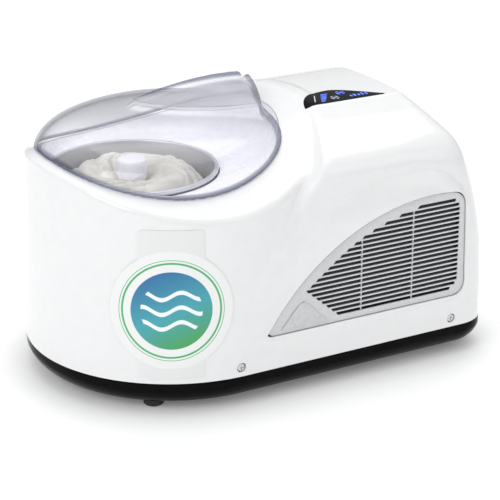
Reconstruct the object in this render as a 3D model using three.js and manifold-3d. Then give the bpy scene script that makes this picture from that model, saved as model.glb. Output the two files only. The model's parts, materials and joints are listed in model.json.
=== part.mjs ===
// Countertop compressor ice cream maker: a round freezing drum with a lift-off clear lid at one end and a
// motor housing with side vents at the other. Millimetres, +X along the body towards the motor end,
// -Y towards the user, +Z up. The origin is the middle of the footprint, on the surface it stands on.
import * as THREE from 'three';
import { mergeVertices } from 'three/addons/utils/BufferGeometryUtils.js';
import Module from 'manifold-3d';

const wasm = await Module();
wasm.setup();

// ---------- driving dimensions ----------
const GAP = 0.3;              // clearance between pieces that touch
const WALL = 3;               // moulded housing wall
const HALF_W = 142;           // half width, and radius of the round end
const DRUM_X = -70.5;         // axis of the round end
const END_X = 212.5;          // outer face of the motor end
const END_BULGE = 8;          // how far the motor end bows out between its corners
const CORNER_R = 37;          // plan radius of the two motor-end corners
const SEAM_Z = 30;            // joint between white shell and black base
const FOOT_H = 8;             // feet below the base
const COLLAR_Z = 226.6;       // crown of the drum roof over the drum axis
const COLLAR_TILT = 0.095;    // rise of the drum roof per millimetre towards the motor end
const CROWN_R = 227;          // radius of the drum roof across the body
const BAND_HALF = 51;         // half width of the flat band along the motor housing
const BAND_Z = 243;           // height of the band edge
const BAND_CROWN = 3;         // rise of the band at its middle
const SHOULDER_Z = 205;       // where the flank turns into the roof
const LID_X = -82.5;          // centre of the lid
const LID_R = 117;            // outer radius of the lid
const LID_TOP = 245.5;        // height of the dome on its own axis
const LID_EDGE = 207;         // where the side of the lid starts to curve in
const LID_TILT = 2;           // degrees, the dome leans back from the motor end
const LID_WALL = 3;
const LID_FULLNESS = 2.7;     // exponent of the dome's rounded-square profile
const HOPPER_FLOOR = 249.5;   // top of the raised fin-shaped platform of the lid
const HOPPER_LIP = 5;         // width of the lip around the platform
const BOWL_X = -111.5;        // axis of bowl, paddle and drive shaft
const BOWL_R = 80;            // outer radius of the bowl rim
const BOWL_RIM_Z = 195;
const BOWL_DEPTH = 112;
const BOWL_WALL = 1.6;
const HUB_DROP = 13;          // top of the paddle hub below the bowl rim
const DECK_Z = 190;           // flat of the deck around the bowl
const WELL_R = 81.5;          // outer radius of the evaporator well
const SHAFT_R = 5;
const GEAR_Z = 44;            // mid height of the worm wheel
const GEAR_R = 40;
const GEAR_TEETH = 30;
const WORM_R = 7;
const VENT_SLOTS = 20;
const VENT_PITCH = 4.65;
const SLOT_H = 3.3;
const GRILLE_T = 2;
const SLOT_KNEE_X = 64;       // leftmost slot end, from the drum axis
const SLOT_KNEE_Z = 98;       // and its height
const VENT_Y = 139.4;         // outer face of the vent grilles
const VENT_LOW = 61;
const VENT_TOP = 167;
const LABEL_TURN = -117;      // degrees about the drum axis, where the front label is centred
const LABEL_Z = 101;          // height of the label's disc
const LABEL_R = 55;           // radius of the label's disc
const LABEL_TAB = 29;         // half width of the tab above and below the disc
const LABEL_LOW = 36;
const LABEL_TOP = 176;
const CASE_W = 104;           // gear case along X
const CASE_D = 112;           // gear case along Y
const CASE_Y = -8;            // middle of the gear case
const ROUND = 48;             // facets of the large circles

// ---------- solids ----------
function solid(geometry) {
  const bare = geometry.clone();
  bare.deleteAttribute('normal');
  bare.deleteAttribute('uv');
  const merged = mergeVertices(bare, 1e-4);
  const vertProperties = new Float32Array(merged.attributes.position.array);
  const triVerts = new Uint32Array(merged.index.array);
  const body = new wasm.Manifold(new wasm.Mesh({ numProp: 3, vertProperties, triVerts }));
  if (body.volume() >= 0) return body;
  for (let i = 0; i < triVerts.length; i += 3) {
    [triVerts[i], triVerts[i + 1]] = [triVerts[i + 1], triVerts[i]];
  }
  return new wasm.Manifold(new wasm.Mesh({ numProp: 3, vertProperties, triVerts }));
}

function geometryOf(body) {
  const mesh = body.getMesh();
  const geometry = new THREE.BufferGeometry();
  geometry.setAttribute('position', new THREE.BufferAttribute(new Float32Array(mesh.vertProperties), 3));
  geometry.setIndex(new THREE.BufferAttribute(new Uint32Array(mesh.triVerts), 1));
  geometry.computeVertexNormals();
  return geometry;
}

function block(width, depth, height, x, y, z) {
  return solid(new THREE.BoxGeometry(width, depth, height).translate(x, y, z));
}

// Turned piece about a vertical axis through (x, y): points are [radius, height].
function turned(points, x = 0, y = 0, facets = 32) {
  const profile = points.map(([r, z]) => new THREE.Vector2(r, z));
  const geometry = new THREE.LatheGeometry(profile, facets);
  return solid(geometry.rotateX(Math.PI / 2).translate(x, y, 0));
}

function disc(radius, z0, z1, x = 0, y = 0, facets = 32) {
  return turned([[0, z0], [radius, z0], [radius, z1], [0, z1]], x, y, facets);
}

function ring(inner, outer, z0, z1, x = 0, y = 0, facets = 32) {
  return turned([[inner, z0], [outer, z0], [outer, z1], [inner, z1], [inner, z0]], x, y, facets);
}

// The same turned piece laid along X or along Y.
function turnedX(points, x, y, z, facets = 24) {
  const profile = points.map(([r, a]) => new THREE.Vector2(r, a));
  return solid(new THREE.LatheGeometry(profile, facets).rotateZ(-Math.PI / 2).translate(x, y, z));
}

function turnedY(points, x, y, z, facets = 24) {
  const profile = points.map(([r, a]) => new THREE.Vector2(r, a));
  return solid(new THREE.LatheGeometry(profile, facets).translate(x, y, z));
}

function prismZ(shape, z0, z1, curveSegments = ROUND / 4) {
  const options = { depth: z1 - z0, bevelEnabled: false, curveSegments };
  return solid(new THREE.ExtrudeGeometry(shape, options).translate(0, 0, z0));
}

// Outline drawn as (x, z), extruded from y0 to y1.
function prismY(shape, y0, y1, curveSegments = 7) {
  const options = { depth: y1 - y0, bevelEnabled: false, curveSegments };
  return solid(new THREE.ExtrudeGeometry(shape, options).rotateX(Math.PI / 2).translate(0, y1, 0));
}

// Outline drawn as (y, z), extruded from x0 to x1.
function prismX(shape, x0, x1, curveSegments = 5) {
  const options = { depth: x1 - x0, bevelEnabled: false, curveSegments };
  const turn = new THREE.Matrix4().set(0, 0, 1, 0, 1, 0, 0, 0, 0, 1, 0, 0, 0, 0, 0, 1);
  return solid(new THREE.ExtrudeGeometry(shape, options).applyMatrix4(turn).translate(x0, 0, 0));
}

function tube(points, radius, sides = 8, steps = 24) {
  const path = new THREE.CatmullRomCurve3(points.map((p) => new THREE.Vector3(...p)));
  const section = new THREE.Shape();
  for (let i = 0; i < sides; i += 1) {
    const angle = (2 * Math.PI * i) / sides;
    const x = radius * Math.cos(angle);
    const y = radius * Math.sin(angle);
    if (i === 0) section.moveTo(x, y);
    else section.lineTo(x, y);
  }
  return solid(new THREE.ExtrudeGeometry(section, { steps, bevelEnabled: false, extrudePath: path }));
}

// ---------- materials and the scene ----------
const machine = new THREE.Group();

function add(name, body, colour, roughness, metalness = 0) {
  const material = new THREE.MeshStandardMaterial({ color: colour, roughness, metalness });
  const mesh = new THREE.Mesh(geometryOf(body), material);
  mesh.name = name;
  machine.add(mesh);
}

const WHITE = 0xf4f5f7;
const BLACK = 0x121316;
const GREY = 0xc9cbcd;
const STEEL = 0xb9bcc0;
const COPPER = 0xb8693a;
const DARK = 0x2b2d31;

// ---------- outline of the body ----------
// Plan: a half circle at the drum end, straight flanks, rounded corners at the motor end.
function planShape(inset) {
  const half = HALF_W - inset;
  const corner = Math.max(CORNER_R - inset, 4);
  const end = END_X - END_BULGE - inset;
  const shape = new THREE.Shape();
  shape.moveTo(DRUM_X, half);
  shape.absarc(DRUM_X, 0, half, Math.PI / 2, (3 * Math.PI) / 2, false);
  shape.lineTo(end - corner, -half);
  shape.quadraticCurveTo(end - 0.15 * corner, -half + 0.15 * corner, end, -half + corner);
  shape.quadraticCurveTo(end + 2 * END_BULGE, 0, end, half - corner);
  shape.quadraticCurveTo(end - 0.15 * corner, half - 0.15 * corner, end - corner, half);
  shape.closePath();
  return shape;
}

// Side profile of the motor housing (x, z): the leaning front edge by the drum, the band, the arched end.
function archShape(inset) {
  const top = BAND_Z + BAND_CROWN - inset;
  const end = END_X - inset;
  const start = DRUM_X + 30 + inset;
  const shape = new THREE.Shape();
  shape.moveTo(start, 0);
  shape.lineTo(start, 138);
  shape.quadraticCurveTo(start + 45, 200, start + 75, top);
  shape.lineTo(END_X - 66, top);
  shape.bezierCurveTo(END_X - 60 - inset, top - 1, END_X - 22 - inset, 174, end - 2, 108);
  shape.lineTo(end, 60);
  shape.lineTo(end, 0);
  shape.closePath();
  return shape;
}

// Cross section of the motor housing (y, z): flank, sloping side, slightly crowned band.
function sectionShape(inset) {
  const half = HALF_W - inset;
  const shape = new THREE.Shape();
  shape.moveTo(-half, 0);
  shape.lineTo(-half, SHOULDER_Z - 6 - inset);
  shape.quadraticCurveTo(-half, SHOULDER_Z + 2 - inset, -half + 10, SHOULDER_Z + 6 - inset);
  shape.quadraticCurveTo(-92, BAND_Z - 12 - inset, -BAND_HALF, BAND_Z - inset);
  shape.quadraticCurveTo(0, BAND_Z + 2 * BAND_CROWN - inset, BAND_HALF, BAND_Z - inset);
  shape.quadraticCurveTo(92, BAND_Z - 12 - inset, half - 10, SHOULDER_Z + 6 - inset);
  shape.quadraticCurveTo(half, SHOULDER_Z + 2 - inset, half, SHOULDER_Z - 6 - inset);
  shape.lineTo(half, 0);
  shape.closePath();
  return shape;
}

// Everything under the drum roof: a long prism with a circular crown, tilted with the roof.
function underRoof(lift) {
  const depth = CROWN_R - (CROWN_R * CROWN_R - 150 * 150) ** 0.5;
  const shape = new THREE.Shape();
  const sweep = Math.asin(150 / CROWN_R);
  shape.moveTo(-150, -100);
  shape.lineTo(-150, -depth);
  shape.absarc(0, -CROWN_R, CROWN_R, Math.PI / 2 + sweep, Math.PI / 2 - sweep, true);
  shape.lineTo(150, -100);
  shape.closePath();
  const options = { depth: 340, bevelEnabled: false, curveSegments: 9 };
  const turn = new THREE.Matrix4().set(0, 0, 1, 0, 1, 0, 0, 0, 0, 1, 0, 0, 0, 0, 0, 1);
  const roof = new THREE.ExtrudeGeometry(shape, options).applyMatrix4(turn).translate(-170, 0, 0);
  roof.rotateY(-Math.atan(COLLAR_TILT));
  const low = block(400, 400, 220, DRUM_X, 0, 60);
  return solid(roof.translate(DRUM_X, 0, COLLAR_Z + lift)).add(low);
}

function outerBody(inset, floor) {
  const drum = disc(HALF_W - inset, floor, 300, DRUM_X, 0, ROUND).intersect(underRoof(-inset));
  const motor = prismY(archShape(inset), -150, 150)
    .intersect(prismX(sectionShape(inset), DRUM_X, END_X + 20))
    .intersect(prismZ(planShape(inset), floor, 300));
  const waist = prismZ(planShape(inset), floor, 138 - inset);
  return drum.add(motor).add(waist);
}

// ---------- vents ----------
// Fin-shaped vent outline (x, z): pointed at the drum end, tall and rounded at the motor end.
function ventShape(inset) {
  const low = VENT_LOW + inset;
  const tip = DRUM_X + 23 + 2.6 * inset;
  const right = DRUM_X + 239 - inset;
  const top = VENT_TOP - inset;
  const shape = new THREE.Shape();
  shape.moveTo(tip, low + 3);
  shape.quadraticCurveTo(tip + 2, low, tip + 8, low);
  shape.lineTo(right - 14, low);
  shape.quadraticCurveTo(right, low, right, low + 14);
  shape.lineTo(right - 2, top - 15);
  shape.quadraticCurveTo(right - 4, top + 1, right - 22, top);
  shape.bezierCurveTo(tip + 142, top + 6, tip + 55, top - 17, tip, low + 3);
  shape.closePath();
  return shape;
}

// Left end of a slot at height z: along the curved edge of the vent above, along the blank corner plate below.
function slotStart(z) {
  const rise = Math.max(z - SLOT_KNEE_Z, 0);
  const fall = Math.max(SLOT_KNEE_Z - z, 0);
  return DRUM_X + SLOT_KNEE_X + 1.3 * rise + 5.6e-8 * rise ** 5 + 1.15 * fall;
}

function ventGrille(side) {
  const face = side * VENT_Y;
  const back = side * (VENT_Y - GRILLE_T);
  const [y0, y1] = [Math.min(face, back), Math.max(face, back)];
  let grille = prismY(ventShape(GAP), y0, y1);
  for (let i = 0; i < VENT_SLOTS; i += 1) {
    const z = VENT_LOW + 8.3 + i * VENT_PITCH;
    const start = slotStart(z);
    const end = DRUM_X + 231 - Math.max(0, (z - VENT_TOP + 15) * 0.9, (VENT_LOW + 15 - z) * 1.2);
    grille = grille.subtract(block(end - start, 20, SLOT_H, (start + end) / 2, face, z));
  }
  return grille;
}

// ---------- enclosure ----------
function housingShell() {
  let shell = outerBody(0, SEAM_Z + GAP).subtract(outerBody(WALL, 0));
  shell = shell.subtract(disc(LID_R - 7, 150, 300, LID_X, 0, ROUND));
  shell = shell.subtract(prismY(ventShape(0), -150, -130)).subtract(prismY(ventShape(0), 130, 150));
  shell = shell.subtract(displaySolid(2 * GAP));
  shell = shell.subtract(block(20, 50 + 2 * GAP, 30 + 2 * GAP, END_X - 2, 60, 62));
  for (const [x, y] of SCREW_SPOTS) {
    const sign = Math.sign(y);
    shell = shell.subtract(turnedY([[0, -9], [4.6, -9], [4.6, 9], [0, 9]], x, sign * HALF_W, SCREW_Z, 16));
  }
  return shell;
}

function baseTray() {
  const inset = 11;
  const outer = prismZ(planShape(0), 20, SEAM_Z).add(prismZ(planShape(inset / 2), 12, 20));
  const pan = outer.add(prismZ(planShape(inset), FOOT_H, 12));
  const hollow = prismZ(planShape(inset + WALL), FOOT_H + WALL, SEAM_Z + 1);
  return pan.subtract(hollow);
}

const FEET = [[-141, -96], [-141, 96], [165, -104], [165, 104]];

function foot(x, y) {
  return turned([[0, 0], [8, 0], [9.5, 1.5], [9.5, FOOT_H - GAP], [0, FOOT_H - GAP]], x, y, 16);
}

const SCREW_Z = 39;
const SCREW_SPOTS = [[-75, -HALF_W], [153.5, -HALF_W], [-60, HALF_W], [153.5, HALF_W]];

function housingScrew(x, y) {
  const sign = Math.sign(y);
  const half = Math.abs(y);
  const head = turnedY([[0, 0], [4.2, 0], [4.2, 1.6], [3.2, 2.6], [0, 2.6]], x, 0, SCREW_Z, 14);
  const shank = turnedY([[0, -9], [1.7, -9], [1.7, 0.2], [0, 0.2]], x, 0, SCREW_Z, 8);
  const recess = block(4.6, 2, 0.9, x, 2.9, SCREW_Z).add(block(0.9, 2, 4.6, x, 2.9, SCREW_Z));
  const screw = head.add(shank).subtract(recess);
  return screw.rotate([0, 0, sign > 0 ? 0 : 180]).translate([sign > 0 ? 0 : 2 * x, sign * (half - 2.9), 0]);
}

// Curved sheet stuck on the round front, a disc with a tab above and below it.
function frontLabel() {
  const shape = new THREE.Shape();
  shape.absarc(0, LABEL_Z, LABEL_R, 0, 2 * Math.PI, false);
  const tab = block(200, 2 * LABEL_TAB, LABEL_TOP - LABEL_LOW, 100, 0, (LABEL_TOP + LABEL_LOW) / 2);
  const cut = prismX(shape, 0, 200, 20).add(tab);
  const skin = ring(HALF_W + GAP, HALF_W + GAP + 0.5, 30, 200, 0, 0, ROUND * 2);
  return skin.intersect(cut).rotate([0, 0, LABEL_TURN]).translate([DRUM_X, 0, 0]);
}

// ---------- display ----------
// Shark-fin touch panel lying in the near slope of the band.
function displayOutline(grow) {
  const shape = new THREE.Shape();
  const left = DRUM_X + 117 - grow;
  const right = DRUM_X + 204 + grow;
  const near = -BAND_HALF + 3 - grow;
  const far = -16 + grow;
  shape.moveTo(left, near);
  shape.quadraticCurveTo(left + 3, far - 4, DRUM_X + 151, far);
  shape.quadraticCurveTo(right - 25, far, right, near + 2);
  shape.lineTo(right, near);
  shape.closePath();
  return shape;
}

function displaySolid(grow) {
  return prismZ(displayOutline(grow), BAND_Z - 6 - grow, BAND_Z + 20, 10);
}

function displayPanel() {
  return displaySolid(0).intersect(outerBody(0.2, 0));
}

// ---------- deck, lid ----------
function deckTray() {
  const rimR = LID_R - 7 - GAP;
  const cut = disc(rimR, DECK_Z - 4, 300, LID_X, 0, ROUND).intersect(underRoof(-8));
  const dish = disc(rimR - 3, DECK_Z - 1, 300, LID_X, 0, ROUND);
  const ramp = turned([[0, DECK_Z - 1], [BOWL_R + 4, DECK_Z - 1], [rimR + 40, 240], [0, 240]], BOWL_X, 0, ROUND);
  const hole = disc(BOWL_R + 1, 100, 300, BOWL_X, 0, ROUND);
  return cut.subtract(dish.intersect(ramp)).subtract(hole);
}

function domeProfile(radius, top, low) {
  const points = [[0, low], [radius, low], [radius, LID_EDGE]];
  const steps = 7;
  for (let i = 1; i <= steps; i += 1) {
    const angle = (i / steps) * (Math.PI / 2);
    const r = radius * Math.cos(angle) ** (2 / LID_FULLNESS);
    const rise = (top - LID_EDGE) * Math.sin(angle) ** (2 / LID_FULLNESS);
    points.push([i === steps ? 0 : r, LID_EDGE + rise]);
  }
  return points;
}

// Plan outline of the raised fin on the lid: a tip over the bowl, the wide end towards the motor.
function finShape(grow) {
  const shape = new THREE.Shape();
  shape.moveTo(-97 - grow, 19);
  shape.bezierCurveTo(-88 - grow, -14 - grow, -45, -40 - grow, -4 + grow, -43 - grow);
  shape.quadraticCurveTo(18 + grow, 0, 27 + grow, 39 + grow);
  shape.bezierCurveTo(-10, 50 + grow, -60, 34 + grow, -97 - grow, 19);
  shape.closePath();
  return shape;
}

// The fin's lip is level with the platform at the near side and rises towards the far side.
function fin(grow, lift) {
  const reach = disc(LID_R - (HOPPER_LIP - grow), 150, 300, LID_X, 0, ROUND);
  const slope = [-0.035, -0.075, 1];
  return prismZ(finShape(grow), 215, 290, 8).intersect(reach)
    .trimByPlane(slope.map((v) => -v), -(HOPPER_FLOOR + 4.2 + lift));
}

function dome(inset) {
  const shell = turned(domeProfile(LID_R - inset, LID_TOP - inset, 180 - inset), 0, 0, ROUND);
  return shell.translate([0, 0, -LID_EDGE]).rotate([0, -LID_TILT, 0]).translate([LID_X, 0, LID_EDGE]);
}

function lid() {
  const lip = HOPPER_LIP;
  const outside = dome(0).add(fin(lip, 0));
  const under = fin(lip - LID_WALL, -LID_WALL).intersect(block(300, 300, 100, LID_X, 0, HOPPER_FLOOR - LID_WALL - 50));
  const platform = prismZ(finShape(0), HOPPER_FLOOR, 300, 8);
  const shell = outside.subtract(dome(LID_WALL).add(under)).subtract(platform);
  return shell.subtract(underRoof(0.6)).subtract(outerBody(-0.6, 100));
}

// ---------- bowl, paddle, drive ----------
function bowl() {
  const floor = BOWL_RIM_Z - BOWL_DEPTH;
  const body = BOWL_R - 3;
  const inner = body - BOWL_WALL;
  const post = SHAFT_R + 1.5;
  const points = [
    [post, floor + 40], [post, floor], [body - 8, floor], [body, floor + 8], [body, BOWL_RIM_Z - 6],
    [BOWL_R, BOWL_RIM_Z - 4], [BOWL_R, BOWL_RIM_Z], [inner, BOWL_RIM_Z], [inner, floor + 9],
    [inner - 7, floor + BOWL_WALL], [post + BOWL_WALL, floor + BOWL_WALL], [post + BOWL_WALL, floor + 40],
    [post, floor + 40],
  ];
  return turned(points, BOWL_X, 0, ROUND);
}

function paddle() {
  const floor = BOWL_RIM_Z - BOWL_DEPTH;
  const top = BOWL_RIM_Z - HUB_DROP;
  const hub = ring(9, 13, floor + 2.4, top, BOWL_X, 0, 24)
    .add(ring(SHAFT_R + GAP, 13, floor + 44, top, BOWL_X, 0, 24));
  const reach = BOWL_R - 3 - BOWL_WALL - 1.4;
  const foot = block(reach - 10, 10, 5, BOWL_X + (reach + 10) / 2, 0, floor + 11.5)
    .add(block(56, 10, 7.6, BOWL_X + 38, 0, floor + 6.2));
  const blade = block(5, 14, 69, BOWL_X + reach - 4, 0, floor + 43.5);
  const arm = block(reach - 10, 8, 6, BOWL_X + (reach + 10) / 2, 0, floor + 75);
  const half = foot.add(blade).add(arm);
  const other = half.translate([-BOWL_X, 0, 0]).rotate([0, 0, 180]).translate([BOWL_X, 0, 0]);
  const ribbon = block(6, 6, 70, BOWL_X + 36, 0, floor + 38);
  return hub.add(half).add(other).add(ribbon);
}

function paddleCap() {
  const z = BOWL_RIM_Z - HUB_DROP + GAP;
  const outer = turned([[0, z], [14.5, z], [14.5, z + 17], [12.5, z + 20], [0, z + 20]], BOWL_X, 0, 32);
  return outer.subtract(disc(SHAFT_R + GAP, z - 1, z + 12, BOWL_X, 0, 20));
}

function driveShaft() {
  return disc(SHAFT_R, GEAR_Z - 18, BOWL_RIM_Z - HUB_DROP + 11, BOWL_X, 0, 20);
}

function evaporatorWell() {
  const floor = BOWL_RIM_Z - BOWL_DEPTH - GAP - 1;
  const outer = WELL_R;
  const inner = BOWL_R - 3 + 1.2;
  const bore = 12;
  return turned([[bore, floor - 3], [outer, floor - 3], [outer, DECK_Z - 8], [inner, DECK_Z - 8],
    [inner, floor], [bore, floor], [bore, floor - 3]], BOWL_X, 0, ROUND);
}

function evaporatorCoil() {
  const turns = 4;
  const points = [];
  for (let i = 0; i <= turns * 12; i += 1) {
    const angle = (i / 12) * 2 * Math.PI;
    const radius = WELL_R + GAP + 4.6;
    points.push([BOWL_X + radius * Math.cos(angle), radius * Math.sin(angle), 94 + (i / 12) * 19]);
  }
  return tube(points, 3.2, 6, turns * 24);
}

function insulation() {
  const outer = 96;
  const inner = WELL_R + 8.8;
  return turned([[30, 70], [outer, 70], [outer, DECK_Z - 10], [inner, DECK_Z - 10], [inner, 76.5], [30, 76.5],
    [30, 70]], BOWL_X, 0, 48).intersect(disc(HALF_W - WALL - 0.5, 0, 300, DRUM_X, 0, ROUND));
}

function shaftBearing() {
  return turned([[SHAFT_R + GAP, 62], [16, 62], [16, 66], [11, 66], [11, 78], [SHAFT_R + GAP, 78],
    [SHAFT_R + GAP, 62]], BOWL_X, 0, 24);
}

function shaftSeal() {
  return ring(SHAFT_R + GAP, 10.5, 78 + GAP, 82, BOWL_X, 0, 24);
}

function wormWheel() {
  const shape = new THREE.Shape();
  for (let i = 0; i < GEAR_TEETH; i += 1) {
    const pitch = (2 * Math.PI) / GEAR_TEETH;
    const corners = [[0, GEAR_R - 3], [0.18, GEAR_R], [0.42, GEAR_R], [0.6, GEAR_R - 3]];
    for (const [part, radius] of corners) {
      const angle = (i + part) * pitch;
      const x = BOWL_X + radius * Math.cos(angle);
      const y = radius * Math.sin(angle);
      if (i === 0 && part === 0) shape.moveTo(x, y);
      else shape.lineTo(x, y);
    }
  }
  shape.closePath();
  const wheel = prismZ(shape, GEAR_Z - 6, GEAR_Z + 6).add(disc(14, GEAR_Z - 12, GEAR_Z + 12, BOWL_X, 0, 24));
  return wheel.subtract(disc(SHAFT_R + GAP, 0, 90, BOWL_X, 0, 20));
}

const WORM_Y = -(GEAR_R + WORM_R + GAP);

function worm() {
  const points = [[0, -22], [4, -22], [4, -15]];
  for (let i = 0; i < 5; i += 1) {
    const start = -15 + i * 6;
    points.push([WORM_R - 2, start], [WORM_R, start + 1.5], [WORM_R, start + 3.5], [WORM_R - 2, start + 5]);
  }
  points.push([4, 16], [4, 128], [0, 128]);
  return turnedX(points, BOWL_X, WORM_Y, GEAR_Z, 16);
}

function gearCase() {
  const side = CASE_W / 2 - 2;
  const floor = block(CASE_W, CASE_D, 3, BOWL_X, CASE_Y, 16.5);
  const left = block(4, CASE_D, 43, BOWL_X - side, CASE_Y, 39);
  const right = block(4, CASE_D, 43, BOWL_X + side, CASE_Y, 39);
  const bore = turnedX([[0, -80], [5, -80], [5, 80], [0, 80]], BOWL_X, WORM_Y, GEAR_Z, 16);
  return floor.add(left).add(right).subtract(bore).subtract(disc(6, 0, 30, BOWL_X, 0, 16));
}

function gearCover() {
  const plate = block(CASE_W, CASE_D, 3.2, BOWL_X, CASE_Y, 62.4);
  return plate.subtract(disc(17, 59, 66, BOWL_X, 0, 24)).add(ring(17, 22, 57.5, 64, BOWL_X, 0, 24));
}

function mixMotor() {
  const start = BOWL_X + CASE_W / 2 + 1;
  return turnedX([[4.4, 0], [20, 0], [25, 3], [25, 74], [20, 78], [4.4, 78], [4.4, 0]], start, WORM_Y, GEAR_Z, 28);
}

// ---------- refrigeration ----------
const COMP = { x: 112, y: 62, r: 56 };

function compressor() {
  const { x, y, r } = COMP;
  const can = turned([[0, 34], [r - 14, 34], [r - 3, 42], [r, 56], [r, 84], [r + 2, 85], [r + 2, 89], [r, 90],
    [r, 128], [r - 5, 144], [r - 18, 156], [0, 160]], x, y, 28);
  return can.add(block(120, 100, 3, x, y, 32.5));
}

function compressorMount(x, y) {
  return turned([[0, 11.4], [9, 11.4], [9, 20], [6, 21], [6, 25], [9, 26], [9, 30.6], [0, 30.6]], x, y, 12);
}

function condenser() {
  const [x0, width, z0, height] = [20, 130, 42, 120];
  let core = block(width, 26, height, x0 + width / 2, -112, z0 + height / 2);
  const gaps = 12;
  for (let i = 0; i < gaps; i += 1) {
    const z = z0 + (height * (i + 0.7)) / (gaps + 0.4);
    core = core.subtract(block(width - 12, 10, 4, x0 + width / 2, -122, z));
  }
  return core;
}

function condenserTubes() {
  const points = [];
  for (let i = 0; i < 5; i += 1) {
    const z = 54 + i * 22;
    const ends = i % 2 === 0 ? [24, 146] : [146, 24];
    points.push([ends[0], -94, z], [ends[1], -94, z]);
  }
  return tube(points, 3, 6, 48);
}

const FAN = { x: 85, z: 102, y: -66, r: 48 };

function fanShroud() {
  const { x, y, z, r } = FAN;
  const plate = block(118, 4, 118, x, y - 20, z);
  const duct = turnedY([[r + 2, -22], [r + 5, -22], [r + 5, 8], [r + 2, 8], [r + 2, -22]], x, y, z, 40);
  const hole = turnedY([[0, -30], [r + 2, -30], [r + 2, 20], [0, 20]], x, y, z, 40);
  return plate.subtract(hole).add(duct);
}

function fan() {
  const { x, y, z, r } = FAN;
  const hub = turnedY([[0, -8], [16, -8], [18, -5], [18, 8], [0, 8]], 0, 0, 0, 24);
  const count = 7;
  let wheel = hub;
  for (let i = 0; i < count; i += 1) {
    const blade = new THREE.BoxGeometry(r - 18, 1.8, 22);
    blade.rotateX(Math.PI / 5).translate((r + 16) / 2, 0, 0).rotateY((2 * Math.PI * i) / count);
    wheel = wheel.add(solid(blade));
  }
  return wheel.translate([x, y - 4, z]);
}

function fanMotor() {
  const { x, y, z } = FAN;
  return turnedY([[0, 6], [17, 6], [17, 30], [13, 34], [0, 34]], x, y, z, 24);
}

function fanBracket() {
  const { x, y, z, r } = FAN;
  const bar = block(2 * r + 14, 3, 10, x, y + 14, z);
  const clamp = turnedY([[0, 10], [22, 10], [22, 16], [0, 16]], x, y, z, 24);
  const bore = turnedY([[0, 0], [17.4, 0], [17.4, 20], [0, 20]], x, y, z, 24);
  const posts = block(6, 14, 10, x - r - 9, y + 8.5, z).add(block(6, 14, 10, x + r + 9, y + 8.5, z));
  return bar.add(clamp).add(posts).subtract(bore);
}

function filterDrier() {
  return turned([[0, 80], [3, 80], [10, 88], [10, 138], [3, 146], [0, 146]], 4, -100, 16);
}

function suctionLine() {
  return tube([[-14, 56, 150], [10, 78, 168], [40, 88, 176], [80, 84, 178], [104, 70, 172], [106, 66, 162]], 3.5, 6, 24);
}

function dischargeLine() {
  return tube([[172, 62, 104], [184, 40, 108], [187, 0, 112], [184, -50, 124], [176, -84, 138], [160, -94, 142],
    [146.6, -94, 142]], 3, 6, 26);
}

// ---------- electrics ----------
function controlBoard() {
  return block(96, 34, 1.6, 102, -30, 226)
    .add(block(20, 14, 10, 84, -30, 220.5))
    .add(block(12, 10, 8, 122, -30, 221.5));
}

function powerBoard() {
  return block(60, 1.6, 70, 10, 118, 110)
    .add(block(24, 22, 26, 0, 107, 100))
    .add(block(14, 14, 30, 26, 111, 120));
}

function powerInlet() {
  const face = END_X - 1;
  const flange = block(3, 50, 30, face - 1.5, 60, 62).add(block(16, 28, 21, face - 10, 60, 62));
  const socket = block(14, 23, 15, face - 4, 60, 62);
  return flange.subtract(socket).add(block(10, 2, 6, face - 8, 53, 62)).add(block(10, 2, 6, face - 8, 67, 62));
}

function badgePlate() {
  const shape = new THREE.Shape();
  const left = DRUM_X + 37;
  shape.moveTo(left, VENT_LOW + 4);
  shape.lineTo(left + 50, VENT_LOW + 4);
  shape.lineTo(left + 27, VENT_LOW + 27);
  shape.quadraticCurveTo(left + 23, VENT_LOW + 30, left + 19, VENT_LOW + 26);
  shape.closePath();
  return prismY(shape, -VENT_Y - 1.3, -VENT_Y - GAP, 8);
}

// ---------- assembly ----------
add('housing_shell', housingShell(), WHITE, 0.15);
add('base_tray', baseTray(), BLACK, 0.12);
FEET.forEach(([x, y], i) => add(`foot_${i + 1}`, foot(x, y), BLACK, 0.8));
SCREW_SPOTS.forEach(([x, y], i) => add(`housing_screw_${i + 1}`, housingScrew(x, y), STEEL, 0.3, 1));
add('vent_grille_front', ventGrille(-1), GREY, 0.45);
add('vent_grille_rear', ventGrille(1), GREY, 0.45);
add('badge_plate', badgePlate(), GREY, 0.35);
add('front_label', frontLabel(), WHITE, 0.4);
add('display_panel', displayPanel(), BLACK, 0.05);
add('deck_tray', deckTray(), WHITE, 0.25);
add('lid', lid(), 0xc9c8dc, 0.05);
add('bowl', bowl(), 0x9a9ea8, 0.35, 1);
add('paddle', paddle(), 0xf2f2f2, 0.4);
add('paddle_cap', paddleCap(), 0xf2f2f6, 0.35);
add('drive_shaft', driveShaft(), STEEL, 0.25, 1);
add('evaporator_well', evaporatorWell(), STEEL, 0.4, 1);
add('evaporator_coil', evaporatorCoil(), COPPER, 0.3, 1);
add('insulation', insulation(), 0xe8e2c8, 0.95);
add('shaft_bearing', shaftBearing(), 0xa8884a, 0.4, 1);
add('shaft_seal', shaftSeal(), BLACK, 0.9);
add('worm_wheel', wormWheel(), 0xe6e2d2, 0.5);
add('worm', worm(), STEEL, 0.3, 1);
add('gear_case', gearCase(), STEEL, 0.45, 1);
add('gear_cover', gearCover(), STEEL, 0.45, 1);
add('mix_motor', mixMotor(), DARK, 0.5);
add('compressor', compressor(), BLACK, 0.45);
const MOUNT_SPOTS = [[62, 22], [162, 22], [62, 102], [162, 102]];
MOUNT_SPOTS.forEach(([x, y], i) => add(`compressor_mount_${i + 1}`, compressorMount(x, y), DARK, 0.9));
add('condenser', condenser(), STEEL, 0.4, 1);
add('condenser_tubes', condenserTubes(), COPPER, 0.3, 1);
add('fan_shroud', fanShroud(), DARK, 0.6);
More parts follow.
